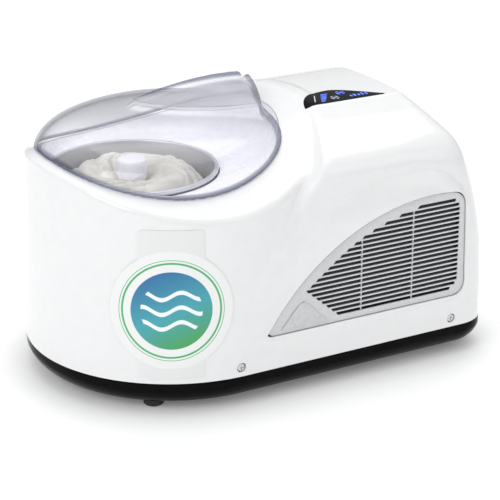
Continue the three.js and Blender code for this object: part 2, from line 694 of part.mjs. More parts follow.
add('fan', fan(), DARK, 0.5);
add('fan_motor', fanMotor(), STEEL, 0.5, 1);
add('fan_bracket', fanBracket(), STEEL, 0.5, 1);
add('filter_drier', filterDrier(), COPPER, 0.3, 1);
add('suction_line', suctionLine(), COPPER, 0.3, 1);
add('discharge_line', dischargeLine(), COPPER, 0.3, 1);
add('control_board', controlBoard(), 0x2e6b3c, 0.6);
add('power_board', powerBoard(), 0x2e6b3c, 0.6);
add('power_inlet', powerInlet(), BLACK, 0.5);

export default machine;
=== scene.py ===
"""Ice cream maker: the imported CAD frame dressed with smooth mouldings, clear lid, louvred vents and ice cream."""
import json
import math

import bmesh
import bpy
import numpy as np
from mathutils import Matrix, Vector


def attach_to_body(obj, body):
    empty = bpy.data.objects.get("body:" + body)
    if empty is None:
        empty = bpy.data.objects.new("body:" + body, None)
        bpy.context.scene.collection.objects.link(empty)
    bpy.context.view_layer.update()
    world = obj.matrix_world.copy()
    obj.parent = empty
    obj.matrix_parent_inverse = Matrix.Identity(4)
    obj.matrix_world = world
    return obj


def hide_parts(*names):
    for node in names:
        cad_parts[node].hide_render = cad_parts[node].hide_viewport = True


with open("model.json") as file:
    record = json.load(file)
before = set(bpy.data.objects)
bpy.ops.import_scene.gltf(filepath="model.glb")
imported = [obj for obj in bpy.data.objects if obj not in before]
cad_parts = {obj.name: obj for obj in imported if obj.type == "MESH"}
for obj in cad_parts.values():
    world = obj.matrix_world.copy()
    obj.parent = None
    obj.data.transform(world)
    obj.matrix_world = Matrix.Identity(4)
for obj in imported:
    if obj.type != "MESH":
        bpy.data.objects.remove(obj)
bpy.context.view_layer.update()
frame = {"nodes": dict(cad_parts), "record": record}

MM = 0.001
HALF_W, DRUM_X, END_X, CORNER_R, SEAM_Z = 142.0, -70.5, 212.5, 37.0, 30.0
LID_X, LID_R, LID_EDGE, LID_TOP, LID_N = -82.5, 117.0, 207.0, 245.5, 2.7
BOWL_X, BOWL_R, BOWL_RIM = -111.5, 80.0, 195.0
VENT_LOW, VENT_TOP, VENT_Y = 61.0, 167.0, 139.4
WALL = 3.0
DRAFT, DRAFT_MOST = 0.032, 8.0  # the drum narrows upwards by this share, up to the most
END_BULGE = 8.0  # how far the end wall bows out at its middle
COLLAR_Z, COLLAR_TILT, COLLAR_FALL = 226.6, 0.095, 0.0022  # height on the axis, rise along x, fall with y squared
ROOF_Z, ROOF_CROWN, ROOF_FLAT = 246.0, 3.0, 51.0  # top of the motor roof, its crown, half the width of its level band
SHOULDER_SLOPE, SHOULDER_EASE = 0.2915, 0.00128  # how the roof falls away beyond the level band
RAMP_X, RAMP_Z, RAMP_RISE, RAMP_EASE = -36.5, 145.0, 1.45, 0.0041  # leaning front of the motor housing
LEAN, LEAN_FROM, LEAN_HIGH = 0.06, 60, 150  # the flank leans in by this share above this height, over this height
LOUVRES, LOUVRE_PITCH, SLOT_HALF, SLOT_KNEE, PLATE_T = 20, 4.65, 1.65, 98, 1.4
LABEL_TURN, LABEL_Z, LABEL_R, LABEL_TAB, LABEL_ENDS = -118, 101, 56.5, 29.5, (36, 176)


# ---------- mesh helpers, all in millimetres ----------
def new_object(name, verts, faces, smooth=True):
    mesh = bpy.data.meshes.new(name)
    mesh.from_pydata([tuple(v) for v in np.asarray(verts, float) * MM], [], [tuple(map(int, f)) for f in faces])
    mesh.validate()
    obj = bpy.data.objects.new(name, mesh)
    bpy.context.scene.collection.objects.link(obj)
    if smooth:
        mesh.shade_smooth()
    return obj


def clean(obj, merge=0.01, outward=True):
    bm = bmesh.new()
    bm.from_mesh(obj.data)
    bmesh.ops.remove_doubles(bm, verts=bm.verts, dist=merge * MM)
    bmesh.ops.dissolve_degenerate(bm, edges=bm.edges, dist=1e-7)
    if outward:
        bmesh.ops.recalc_face_normals(bm, faces=bm.faces)
    bm.to_mesh(obj.data)
    bm.free()
    return obj


def soften(obj, angle=35):
    """Smooth shading that keeps the edges sharper than the angle."""
    obj.data.shade_smooth()
    obj.data.set_sharp_from_angle(angle=math.radians(angle))
    return obj


def grid_faces(nu, nv, wrap_u=False, wrap_v=False, start=0):
    u = np.arange(nu if wrap_u else nu - 1)
    v = np.arange(nv if wrap_v else nv - 1)
    a, b = np.meshgrid(u, v, indexing="ij")
    a, b = a.ravel(), b.ravel()
    a1, b1 = (a + 1) % nu, (b + 1) % nv
    return np.stack([a * nv + b, a1 * nv + b, a1 * nv + b1, a * nv + b1], 1) + start


def rounded(points, radius, steps=5, closed=True):
    """Polyline with its corners turned into short curves. A point may carry its own radius as a third value."""
    out = []
    n = len(points)
    for i, p in enumerate(points):
        r = p[2] if len(p) > 2 else radius
        here = np.array(p[:2], float)
        if (not closed and i in (0, n - 1)) or r <= 0:
            out.append(here)
            continue
        before, after = np.array(points[i - 1][:2], float), np.array(points[(i + 1) % n][:2], float)
        a, b = before - here, after - here
        la, lb = np.linalg.norm(a), np.linalg.norm(b)
        cut = min(r, la * 0.49, lb * 0.49)
        p0, p2 = here + a / la * cut, here + b / lb * cut
        for t in np.linspace(0, 1, steps):
            out.append((1 - t) ** 2 * p0 + 2 * t * (1 - t) * here + t * t * p2)
    return np.array(out)


def lathe(name, profile, centre, segments=96, closed=True, axis="z", sign=1):
    """Turned piece: profile rows are radius and height."""
    angle = np.linspace(0, 2 * np.pi, segments, endpoint=False)
    r, h = profile[:, 0], profile[:, 1]
    c, s = np.cos(angle)[:, None], np.sin(angle)[:, None]
    if axis == "z":
        pts = np.stack([r * c, r * s, h + 0 * c], -1)
    else:
        pts = np.stack([r * c, sign * (h + 0 * c), r * s], -1)
    pts = pts + np.array(centre, float)
    faces = grid_faces(segments, len(profile), wrap_u=True, wrap_v=closed)
    return soften(clean(new_object(name, pts.reshape(-1, 3), faces)), 40)


def boolean(obj, cutters, how="DIFFERENCE"):
    for cutter in cutters:
        mod = obj.modifiers.new("cut", "BOOLEAN")
        mod.operation = how
        mod.solver = "EXACT"
        mod.object = cutter
    bake(obj)
    for cutter in cutters:
        bpy.data.objects.remove(cutter, do_unlink=True)
    return obj


def bake(obj):
    graph = bpy.context.evaluated_depsgraph_get()
    mesh = bpy.data.meshes.new_from_object(obj.evaluated_get(graph))
    old = obj.data
    obj.modifiers.clear()
    obj.data = mesh
    bpy.data.meshes.remove(old)
    mesh.name = obj.name
    return obj


def join(name, objs):
    """One object from several, keeping their materials."""
    bm = bmesh.new()
    mats = []
    for o in objs:
        first = len(bm.faces)
        bm.from_mesh(o.data)
        bm.faces.ensure_lookup_table()
        shift = len(mats)
        for f in bm.faces[first:]:
            f.material_index += shift
        mats += list(o.data.materials) or [None]
    mesh = bpy.data.meshes.new(name)
    bm.to_mesh(mesh)
    bm.free()
    for m in mats:
        mesh.materials.append(m)
    for o in objs:
        bpy.data.objects.remove(o, do_unlink=True)
    obj = bpy.data.objects.new(name, mesh)
    bpy.context.scene.collection.objects.link(obj)
    return obj


def prism(name, outline, lo, hi, axis):
    """Closed outline (two columns) pushed along an axis: x from (y, z), y from (x, z), z from (x, y)."""
    n = len(outline)
    order = {"x": (2, 0, 1), "y": (0, 2, 1), "z": (0, 1, 2)}[axis]
    pts = []
    for level in (lo, hi):
        raw = np.column_stack([outline, np.full(n, level)])
        pts.append(raw[:, list(order)])
    faces = [[i, (i + 1) % n, n + (i + 1) % n, n + i] for i in range(n)]
    faces += [list(range(n)), list(range(n, 2 * n))]
    return clean(new_object(name, np.vstack(pts), faces, smooth=False))


# ---------- surfaces of implicit bodies ----------
def smax(a, b, k):
    h = np.maximum(k - np.abs(a - b), 0) / k
    return np.maximum(a, b) + h * h * k / 4


def smin(a, b, k):
    return -smax(-a, -b, k)


def gradient(field, p, eps=0.08):
    g = np.empty_like(p)
    for i in range(3):
        d = np.zeros(3)
        d[i] = eps
        a, b = p + d, p - d
        g[:, i] = (field(a[:, 0], a[:, 1], a[:, 2]) - field(b[:, 0], b[:, 1], b[:, 2])) / (2 * eps)
    return g


def surface(name, field, lo, hi, step):
    """Quad mesh of field = 0, with its points moved onto the exact surface."""
    lo = np.array(lo, float)
    n = np.ceil((np.array(hi, float) - lo) / step).astype(int) + 1
    xs, ys, zs = (lo[i] + step * np.arange(n[i]) for i in range(3))
    yy, zz = np.meshgrid(ys, zs, indexing="ij")
    v = np.stack([field(np.full_like(yy, x), yy, zz) for x in xs])
    inside = v < 0
    count = np.zeros(n - 1, int)
    for a in (0, 1):
        for b in (0, 1):
            for c in (0, 1):
                count += inside[a:n[0] - 1 + a, b:n[1] - 1 + b, c:n[2] - 1 + c]
    active = (count > 0) & (count < 8)
    index = np.full(n - 1, -1)
    index[active] = np.arange(active.sum())
    cells = np.argwhere(active)
    pos, hits = np.zeros((len(cells), 3)), np.zeros((len(cells), 1))
    faces = []
    for a in range(3):
        b, c = (a + 1) % 3, (a + 2) % 3
        ua, ub, uc = np.eye(3, dtype=int)[[a, b, c]]
        for ob in (0, 1):
            for oc in (0, 1):
                p0 = cells + ob * ub + oc * uc
                v0, v1 = v[tuple(p0.T)], v[tuple((p0 + ua).T)]
                cross = (v0 < 0) != (v1 < 0)
                t = np.where(cross, v0 / np.where(cross, v0 - v1, 1), 0)
                pos += np.where(cross[:, None], p0 + t[:, None] * ua, 0)
                hits += cross[:, None]
        first = np.take(inside, range(n[a] - 1), a)
        second = np.take(inside, range(1, n[a]), a)
        edges = np.argwhere(first != second)
        ok = (edges[:, b] > 0) & (edges[:, c] > 0) & (edges[:, b] < n[b] - 1) & (edges[:, c] < n[c] - 1)
        edges = edges[ok]
        quad = np.stack([index[tuple((edges - ub - uc).T)], index[tuple((edges - uc).T)],
                         index[tuple(edges.T)], index[tuple((edges - ub).T)]], 1)
        flip = ~first[tuple(edges.T)]
        quad[flip] = quad[flip][:, ::-1]
        faces.append(quad)
    p = lo + step * pos / hits
    for _ in range(5):
        g = gradient(field, p)
        f = field(p[:, 0], p[:, 1], p[:, 2])
        move = -f[:, None] * g / np.maximum((g * g).sum(1, keepdims=True), 0.05)
        size = np.linalg.norm(move, axis=1, keepdims=True)
        p += move * np.minimum(1, 0.6 * step / np.maximum(size, 1e-9))
    return new_object(name, p, np.vstack(faces))


def exact_normals(obj, field, agree=0.85):
    """Loop normals from the field wherever a face lies on it; faces cut later keep their own."""
    mesh = obj.data
    nv, nl, nf = len(mesh.vertices), len(mesh.loops), len(mesh.polygons)
    co = np.empty(nv * 3)
    mesh.vertices.foreach_get("co", co)
    g = gradient(field, co.reshape(-1, 3) / MM)
    g /= np.maximum(np.linalg.norm(g, axis=1, keepdims=True), 1e-9)
    lv, ls, lt = np.empty(nl, int), np.empty(nf, int), np.empty(nf, int)
    mesh.loops.foreach_get("vertex_index", lv)
    mesh.polygons.foreach_get("loop_start", ls)
    mesh.polygons.foreach_get("loop_total", lt)
    fn = np.empty(nf * 3)
    mesh.polygons.foreach_get("normal", fn)
    face_of = np.empty(nl, int)
    order = np.argsort(ls)
    face_of[:] = np.repeat(order, lt[order])
    flat = fn.reshape(-1, 3)[face_of]
    ln = g[lv]
    dot = (ln * flat).sum(1)
    ln = np.where((dot > agree)[:, None], ln, flat)
    mesh.normals_split_custom_set([tuple(v) for v in ln])


# ---------- the body ----------
def plan_field(x, y, z, dish):
    draft = np.clip(DRAFT * (z - SEAM_Z), 0, DRAFT_MOST)
    dx = (x - DRUM_X) * HALF_W / (HALF_W - draft)
    round_end = np.hypot(dx, y) - HALF_W
    bulge = END_BULGE * (1 - np.minimum(np.abs(y) / (HALF_W - CORNER_R), 1) ** 2)
    q1 = x - (END_X - END_BULGE - CORNER_R + bulge)
    q2 = np.abs(y) - (HALF_W - CORNER_R) + dish
    box = np.minimum(np.maximum(q1, q2), 0) + np.hypot(np.maximum(q1, 0), np.maximum(q2, 0)) - CORNER_R
    return np.where(x < DRUM_X, round_end, box), round_end


def collar(x, y):
    return COLLAR_Z + COLLAR_TILT * (x - DRUM_X) - COLLAR_FALL * y * y


def bezier(p0, p1, p2, p3, n):
    t = np.linspace(0, 1, n)[:, None]
    p0, p1, p2, p3 = (np.array(p, float) for p in (p0, p1, p2, p3))
    return (1 - t) ** 3 * p0 + 3 * t * (1 - t) ** 2 * p1 + 3 * t * t * (1 - t) * p2 + t ** 3 * p3


def vent_outline(inset, n=40):
    """The fin-shaped vent outline (x, z)."""
    low, top = VENT_LOW + inset, VENT_TOP - inset
    tip, right = DRUM_X + 23 + 2.6 * inset, DRUM_X + 239 - inset
    parts = [
        bezier((tip, low + 3), (tip + 0.7, low + 0.7), (tip + 3.5, low), (tip + 8, low), 6),
        bezier((right - 14, low), (right - 5, low), (right, low + 5), (right, low + 14), 8),
        bezier((right - 2, top - 15), (right - 3, top - 4), (right - 10, top + 0.4), (right - 22, top), 10),
        bezier((right - 22, top), (tip + 142, top + 6), (tip + 55, top - 17), (tip, low + 3), n)[1:-1],
    ]
    return np.vstack(parts)


def polygon_distance(poly, x, z):
    """Signed distance to a closed polygon, below zero inside."""
    shape = x.shape
    p = np.stack([x.ravel(), z.ravel()], 1)
    best = np.full(len(p), 1e9)
    wind = np.zeros(len(p), bool)
    for a, b in zip(poly, np.roll(poly, -1, 0)):
        e, w = b - a, p - a
        t = np.clip((w @ e) / (e @ e), 0, 1)
        best = np.minimum(best, ((w - t[:, None] * e) ** 2).sum(1))
        cross = (a[1] > p[:, 1]) != (b[1] > p[:, 1])
        if abs(e[1]) > 1e-12:
            wind ^= cross & (p[:, 0] < a[0] + (p[:, 1] - a[1]) * e[0] / e[1])
    d = np.sqrt(best)
    return np.where(wind, -d, d).reshape(shape)


SURROUND = [(-52, 57), (-54, 70), (-42, 96), (-22, 128), (4, 156), (32, 175), (62, 187), (95, 192), (128, 191),
            (150, 183), (166, 165), (175, 135), (177, 100), (176, 62), (160, 57)]


def table_of(poly, lo, hi, step):
    """Distance to an outline tabled on a grid, then read back by interpolation."""
    xs, zs = np.arange(lo[0], hi[0], step), np.arange(lo[1], hi[1], step)
    gx, gz = np.meshgrid(xs, zs, indexing="ij")
    d = polygon_distance(poly, gx, gz)

    def read(x, z):
        fx = np.clip((x - lo[0]) / step, 0, len(xs) - 1.001)
        fz = np.clip((z - lo[1]) / step, 0, len(zs) - 1.001)
        i, j = fx.astype(int), fz.astype(int)
        a, b = fx - i, fz - j
        return ((1 - a) * (1 - b) * d[i, j] + a * (1 - b) * d[i + 1, j]
                + (1 - a) * b * d[i, j + 1] + a * b * d[i + 1, j + 1])
    return read


def smooth_loop(points, n=160):
    """Closed smooth curve through the points."""
    p = np.array(points, float)
    m = len(p)
    out = []
    for i in range(m):
        a, b, c, d = p[i - 1], p[i], p[(i + 1) % m], p[(i + 2) % m]
        for t in np.linspace(0, 1, n // m, endpoint=False):
            out.append(0.5 * (2 * b + (c - a) * t + (2 * a - 5 * b + 4 * c - d) * t * t
                              + (3 * b - a - 3 * c + d) * t ** 3))
    return np.array(out)


ARCH = np.vstack([
    [(-260, -60), (-260, ROOF_Z), (END_X - 60, ROOF_Z)],
    bezier((END_X - 60, ROOF_Z), (END_X - 58.6, 244.6), (END_X - 23.5, 169.7), (END_X - 1, 110), 40)[1:],
    [(END_X, 60), (END_X, -60)],
])
arch_far = table_of(ARCH, (-230, 0), (232, 270), 1.5)
vent_far = table_of(vent_outline(0), (-120, 30), (240, 230), 1.0)
surround_far = table_of(smooth_loop(SURROUND), (-120, 30), (240, 230), 1.0)


def flank_dish(x, z):
    """How far the flank lies inside its widest plane: it leans in upwards, and swells out again towards a vent."""
    outside, inside = vent_far(x, z), -surround_far(x, z)
    t = np.clip(inside / np.maximum(inside + np.maximum(outside, 0), 0.5), 0, 1)
    t = np.where(outside < 0, 1, np.where(inside < 0, 0, t))
    t = 0.9 * t + 0.1 * t * t * (3 - 2 * t)
    along = np.clip((x - DRUM_X - 8) / 70, 0, 1)
    lean = LEAN * np.clip(z - LEAN_FROM, 0, LEAN_HIGH) * along * along * (3 - 2 * along)
    return lean * (1 - t) + 1.2 * t


def ramp_height(x):
    rise = x - RAMP_X
    return RAMP_Z + RAMP_RISE * rise - RAMP_EASE * np.maximum(rise, 0) ** 2


def body_field(x, y, z):
    """Below zero inside the shell: a round drum with a saddle-shaped top, joined to the arched motor housing."""
    plan, round_end = plan_field(x, y, z, flank_dish(x, z))
    roof = (z - collar(x, y)) / np.sqrt(1.01 + (2 * COLLAR_FALL * y) ** 2)
    drum = smax(round_end, roof, 4)
    ay = np.abs(y)
    over = np.maximum(ay - ROOF_FLAT, 0)
    band = ROOF_Z - ROOF_CROWN * np.minimum(ay / ROOF_FLAT, 1) ** 2 - SHOULDER_SLOPE * over - SHOULDER_EASE * over ** 2
    slope = np.where(ay > ROOF_FLAT, SHOULDER_SLOPE + 2 * SHOULDER_EASE * over, 0.0023 * ay)
    section = (z - band) / np.sqrt(1 + slope ** 2)
    arch = arch_far(x, z)
    front = (z - ramp_height(x)) / np.sqrt(1 + (RAMP_RISE - 2 * RAMP_EASE * np.clip(x - RAMP_X, 0, 90)) ** 2)
    motor = smax(plan, smax(smax(section, arch, 16), front, 3), 12 + 14 * np.clip((x - 110) / 70, 0, 1))
    return np.maximum(plan, smin(drum, motor, 0.1 + 9 * np.clip((x - DRUM_X) / 40, 0, 1)))


def lining_field(x, y, z):
    return body_field(x, y, z) + WALL


# ---------- materials ----------
LOOKS = {}


def links(mat):
    mat.use_nodes = True
    return mat.node_tree.nodes, mat.node_tree.links


def material(name, dark, light, rough=(0.3, 0.4), scale=60, metal=0.0, coat=0.0, bump=0.0, stretch=(1, 1, 1),
             detail=3, specular=0.5, emission=0.0):
    """Principled shader whose colour, roughness and relief follow a noise in the object's own space."""
    mat = bpy.data.materials.new(name)
    nodes, link = links(mat)
    bsdf = nodes["Principled BSDF"]
    bsdf.inputs["Metallic"].default_value = metal
    bsdf.inputs["Coat Weight"].default_value = coat
    bsdf.inputs["Coat Roughness"].default_value = 0.04
    bsdf.inputs["Specular IOR Level"].default_value = specular
    coords = nodes.new("ShaderNodeTexCoord")
    place = nodes.new("ShaderNodeMapping")
    place.inputs["Scale"].default_value = stretch
    noise = nodes.new("ShaderNodeTexNoise")
    noise.inputs["Scale"].default_value = scale
    noise.inputs["Detail"].default_value = detail
    ramp = nodes.new("ShaderNodeValToRGB")
    ramp.color_ramp.elements[0].position = 0.3
    ramp.color_ramp.elements[1].position = 0.7
    ramp.color_ramp.elements[0].color = (*dark, 1)
    ramp.color_ramp.elements[1].color = (*light, 1)
    span = nodes.new("ShaderNodeMapRange")
    span.inputs["From Min"].default_value = 0.3
    span.inputs["From Max"].default_value = 0.7
    span.inputs["To Min"].default_value = rough[0]
    span.inputs["To Max"].default_value = rough[1]
    link.new(coords.outputs["Object"], place.inputs["Vector"])
    link.new(place.outputs["Vector"], noise.inputs["Vector"])
    link.new(noise.outputs["Fac"], ramp.inputs["Fac"])
    link.new(noise.outputs["Fac"], span.inputs["Value"])
    link.new(ramp.outputs["Color"], bsdf.inputs["Base Color"])
    link.new(span.outputs["Result"], bsdf.inputs["Roughness"])
    if bump:
        relief = nodes.new("ShaderNodeBump")
        relief.inputs["Strength"].default_value = bump
        relief.inputs["Distance"].default_value = 0.0004
        link.new(noise.outputs["Fac"], relief.inputs["Height"])
        link.new(relief.outputs["Normal"], bsdf.inputs["Normal"])
    if emission:
        link.new(ramp.outputs["Color"], bsdf.inputs["Emission Color"])
        bsdf.inputs["Emission Strength"].default_value = emission
    LOOKS[name] = mat
    return mat


def clear_plastic(name, near, far, edge, rim, gloss=0.03):
    """Thin tinted moulding: see-through head on, darker and mirror-like at a glancing angle, with painted shade making
    it darker towards the back.

    The mesh's own rim layer marks painted shade along its lower edge and lip, and the milk layer its frosted platform."""
    mat = bpy.data.materials.new(name)
    nodes, link = links(mat)
    nodes.remove(nodes["Principled BSDF"])
    facing = nodes.new("ShaderNodeLayerWeight")
    facing.inputs["Blend"].default_value = 0.5
    coords = nodes.new("ShaderNodeTexCoord")
    along = nodes.new("ShaderNodeVectorMath")
    along.operation = "DOT_PRODUCT"
    along.inputs[1].default_value = (0.49, 0.87, 0)
    back_shade_painted = nodes.new("ShaderNodeMapRange")
    back_shade_painted.inputs["From Min"].default_value = 0.02
    back_shade_painted.inputs["From Max"].default_value = 0.06
    # Mix from the near colour to the far colour: painted shade darkening the back of the moulding.
    body = nodes.new("ShaderNodeMix")
    body.data_type = "RGBA"
    body.inputs[6].default_value = (*near, 1)
    body.inputs[7].default_value = (*far, 1)
    glance = nodes.new("ShaderNodeMapRange")
    glance.inputs["From Min"].default_value = 0.6
    tint = nodes.new("ShaderNodeMix")
    tint.data_type = "RGBA"
    tint.inputs[7].default_value = (*edge, 1)
    through = nodes.new("ShaderNodeBsdfTransparent")
    shine = nodes.new("ShaderNodeBsdfGlossy")
    noise = nodes.new("ShaderNodeTexNoise")
    noise.inputs["Scale"].default_value = 35
    span = nodes.new("ShaderNodeMapRange")
    span.inputs["To Min"].default_value = gloss
    span.inputs["To Max"].default_value = gloss * 2
    curve = nodes.new("ShaderNodeMath")
    curve.operation = "POWER"
    curve.inputs[1].default_value = 4.5
    mirror = nodes.new("ShaderNodeMapRange")
    mirror.inputs["To Min"].default_value = 0.035
    mirror.inputs["To Max"].default_value = 0.85
    mix = nodes.new("ShaderNodeMixShader")
    link.new(coords.outputs["Object"], along.inputs[0])
    link.new(along.outputs["Value"], back_shade_painted.inputs["Value"])
    link.new(back_shade_painted.outputs["Result"], body.inputs["Factor"])
    link.new(body.outputs[2], tint.inputs[6])
    link.new(facing.outputs["Facing"], glance.inputs["Value"])
    link.new(glance.outputs["Result"], tint.inputs["Factor"])
    marks = []
    for layer in ("rim", "milk"):
        mark = nodes.new("ShaderNodeAttribute")
        mark.attribute_name = layer
        marks.append(mark)
    # Painted shade: the rim colour darkens the lower edge and lip wherever the rim layer is set.
    dark = nodes.new("ShaderNodeMix")
    dark.data_type = "RGBA"
    dark.inputs[7].default_value = (*rim, 1)
    link.new(marks[0].outputs["Fac"], dark.inputs["Factor"])
    link.new(tint.outputs[2], dark.inputs[6])
    link.new(dark.outputs[2], through.inputs["Color"])
    link.new(coords.outputs["Object"], noise.inputs["Vector"])
    link.new(noise.outputs["Fac"], span.inputs["Value"])
    link.new(span.outputs["Result"], shine.inputs["Roughness"])
    link.new(facing.outputs["Facing"], curve.inputs[0])
    link.new(curve.outputs["Value"], mirror.inputs["Value"])
    link.new(mirror.outputs["Result"], mix.inputs["Fac"])
    link.new(through.outputs["BSDF"], mix.inputs[1])
    link.new(shine.outputs["BSDF"], mix.inputs[2])
    frost = nodes.new("ShaderNodeBsdfTranslucent")
    frost.inputs["Color"].default_value = (0.9, 0.9, 0.94, 1)
    haze = nodes.new("ShaderNodeMath")
    haze.operation = "MULTIPLY"
    haze.inputs[1].default_value = 0.38
    cloudy = nodes.new("ShaderNodeMixShader")
    link.new(marks[1].outputs["Fac"], haze.inputs[0])
    link.new(haze.outputs["Value"], cloudy.inputs["Fac"])
    link.new(mix.outputs["Shader"], cloudy.inputs[1])
    link.new(frost.outputs["BSDF"], cloudy.inputs[2])
    link.new(cloudy.outputs["Shader"], nodes["Material Output"].inputs["Surface"])
    return mat


def dress(obj, mat, body="base", replaces=()):
    obj.data.materials.clear()
    obj.data.materials.append(mat)
    return attach(obj, body, replaces)


def attach(obj, body="base", replaces=()):
    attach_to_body(obj, body)
    if replaces:
        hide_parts(*replaces)
    return obj


WHITE = material("shell_white", (0.81, 0.812, 0.815), (0.83, 0.832, 0.835), (0.10, 0.15), scale=90, coat=0.3)
BLACK = material("base_black", (0.002, 0.002, 0.002), (0.004, 0.004, 0.004), (0.1, 0.18), scale=70, specular=0.05)
RUBBER = material("foot_rubber", (0.015, 0.015, 0.016), (0.03, 0.03, 0.031), (0.7, 0.85), scale=300, bump=0.3)
# The deck's faint emission is painted light, so it reads brighter seen through the lid.
DECK_GLOW_PAINTED = material("deck_white", (0.86, 0.86, 0.90), (0.88, 0.88, 0.92), (0.25, 0.3), scale=80, emission=0.12)
BOWL = material("bowl_metal", (0.60, 0.60, 0.64), (0.66, 0.66, 0.70), (0.3, 0.42), scale=40, metal=0.75,
                stretch=(1, 1, 14), bump=0.05)
CAP = material("cap_white", (0.80, 0.80, 0.85), (0.85, 0.85, 0.90), (0.3, 0.4), scale=90, bump=0.04)
GREY = material("grille_grey", (0.60, 0.61, 0.615), (0.66, 0.67, 0.675), (0.3, 0.42), scale=400, bump=0.12, coat=0.1)
# Near-black painted shade for the inside of the shell and the panel behind the vent slots.
SHADE_BLACK = material("housing_inner", (0.02, 0.02, 0.02), (0.03, 0.03, 0.03), (0.6, 0.7), scale=80)
SLAT = material("grille_slat", (0.72, 0.74, 0.76), (0.80, 0.82, 0.84), (0.35, 0.45), scale=300, bump=0.1)
BADGE = material("badge_grey", (0.56, 0.57, 0.58), (0.62, 0.63, 0.64), (0.25, 0.35), scale=250, bump=0.08)
STEEL = material("screw_steel", (0.55, 0.56, 0.58), (0.68, 0.69, 0.71), (0.18, 0.3), scale=120, metal=1.0, bump=0.05)
material("shaft_steel", (0.48, 0.48, 0.5), (0.6, 0.6, 0.62), (0.2, 0.35), scale=50, metal=1.0,
         stretch=(6, 6, 1))
material("copper", (0.55, 0.25, 0.13), (0.72, 0.38, 0.22), (0.25, 0.4), scale=60, metal=1.0, bump=0.05)
material("foam", (0.72, 0.66, 0.48), (0.82, 0.76, 0.58), (0.85, 0.95), scale=220, bump=0.6)
material("well_metal", (0.5, 0.51, 0.53), (0.62, 0.63, 0.65), (0.3, 0.45), scale=40, metal=1.0,
         stretch=(1, 1, 9))
material("fin_aluminium", (0.5, 0.51, 0.53), (0.64, 0.65, 0.67), (0.35, 0.5), scale=150, metal=0.9, bump=0.15)
material("bracket_steel", (0.45, 0.46, 0.47), (0.58, 0.59, 0.6), (0.35, 0.5), scale=90, metal=0.9, bump=0.08)
material("bearing_brass", (0.45, 0.33, 0.15), (0.6, 0.46, 0.24), (0.3, 0.45), scale=160, metal=1.0)
material("gear_plastic", (0.72, 0.69, 0.58), (0.8, 0.77, 0.66), (0.4, 0.5), scale=120, bump=0.05)
material("motor_dark", (0.05, 0.05, 0.055), (0.09, 0.09, 0.1), (0.4, 0.55), scale=200, bump=0.1)
material("compressor_black", (0.012, 0.012, 0.012), (0.025, 0.025, 0.025), (0.3, 0.45), scale=120, bump=0.12)
material("fan_black", (0.03, 0.03, 0.033), (0.055, 0.055, 0.06), (0.45, 0.6), scale=250, bump=0.1)
material("board_green", (0.03, 0.16, 0.06), (0.06, 0.25, 0.1), (0.4, 0.6), scale=90, bump=0.05)
material("inlet_black", (0.02, 0.02, 0.02), (0.035, 0.035, 0.035), (0.4, 0.55), scale=300, bump=0.15)
material("paddle_white", (0.80, 0.80, 0.80), (0.88, 0.88, 0.88), (0.35, 0.5), scale=80, bump=0.06)
SCREEN = material("display_black", (0.002, 0.002, 0.003), (0.004, 0.004, 0.006), (0.05, 0.09), scale=50, specular=0.03)
BLUE = material("display_symbols", (0.05, 0.12, 0.75), (0.12, 0.25, 0.95), (0.3, 0.4), scale=200, emission=0.8)
PALE = material("display_marks", (0.55, 0.58, 0.62), (0.7, 0.73, 0.77), (0.3, 0.4), scale=200, emission=0.15)
# The far and rim colours are painted shade for the back and the lower edge and lip of the lid.
LID = clear_plastic("lid_clear", (0.985, 0.985, 0.995), (0.895, 0.895, 0.905), (0.6, 0.61, 0.66), (0.52, 0.53, 0.60))
LOOKS["lid_clear"] = LID

for part in frame["record"]["subparts"]:
    for place in frame["nodes"][part["node"]].material_slots:
        place.material = LOOKS.get(part["material_slot"], WHITE)


# ---------- housing ----------
def cylinder(name, x, y, z0, z1, radius, axis="z", segments=96):
    profile = np.array([[0, z0], [radius, z0], [radius, z1], [0, z1]])
    return lathe(name, profile, (x, y, 0) if axis == "z" else (x, 0, y), segments, closed=False, axis=axis)


def display_outline(grow, n=24):
    left, right = DRUM_X + 117 - grow, DRUM_X + 204 + grow
    near, far = -48 - grow, -16 + grow
    return np.vstack([
        [(left + 3, near)],
        bezier((left, near + 2), (left + 4, near + 18), (left + 18, far), (left + 42, far), n),
        bezier((left + 42, far), (right - 34, far), (right - 16, near + 13), (right, near + 1.5), n)[1:],
        [(right - 1, near)],
    ])


SCREWS = [(-75.0, -1), (153.5, -1), (-60.0, 1), (153.5, 1)]
SCREW_Z = 39.0


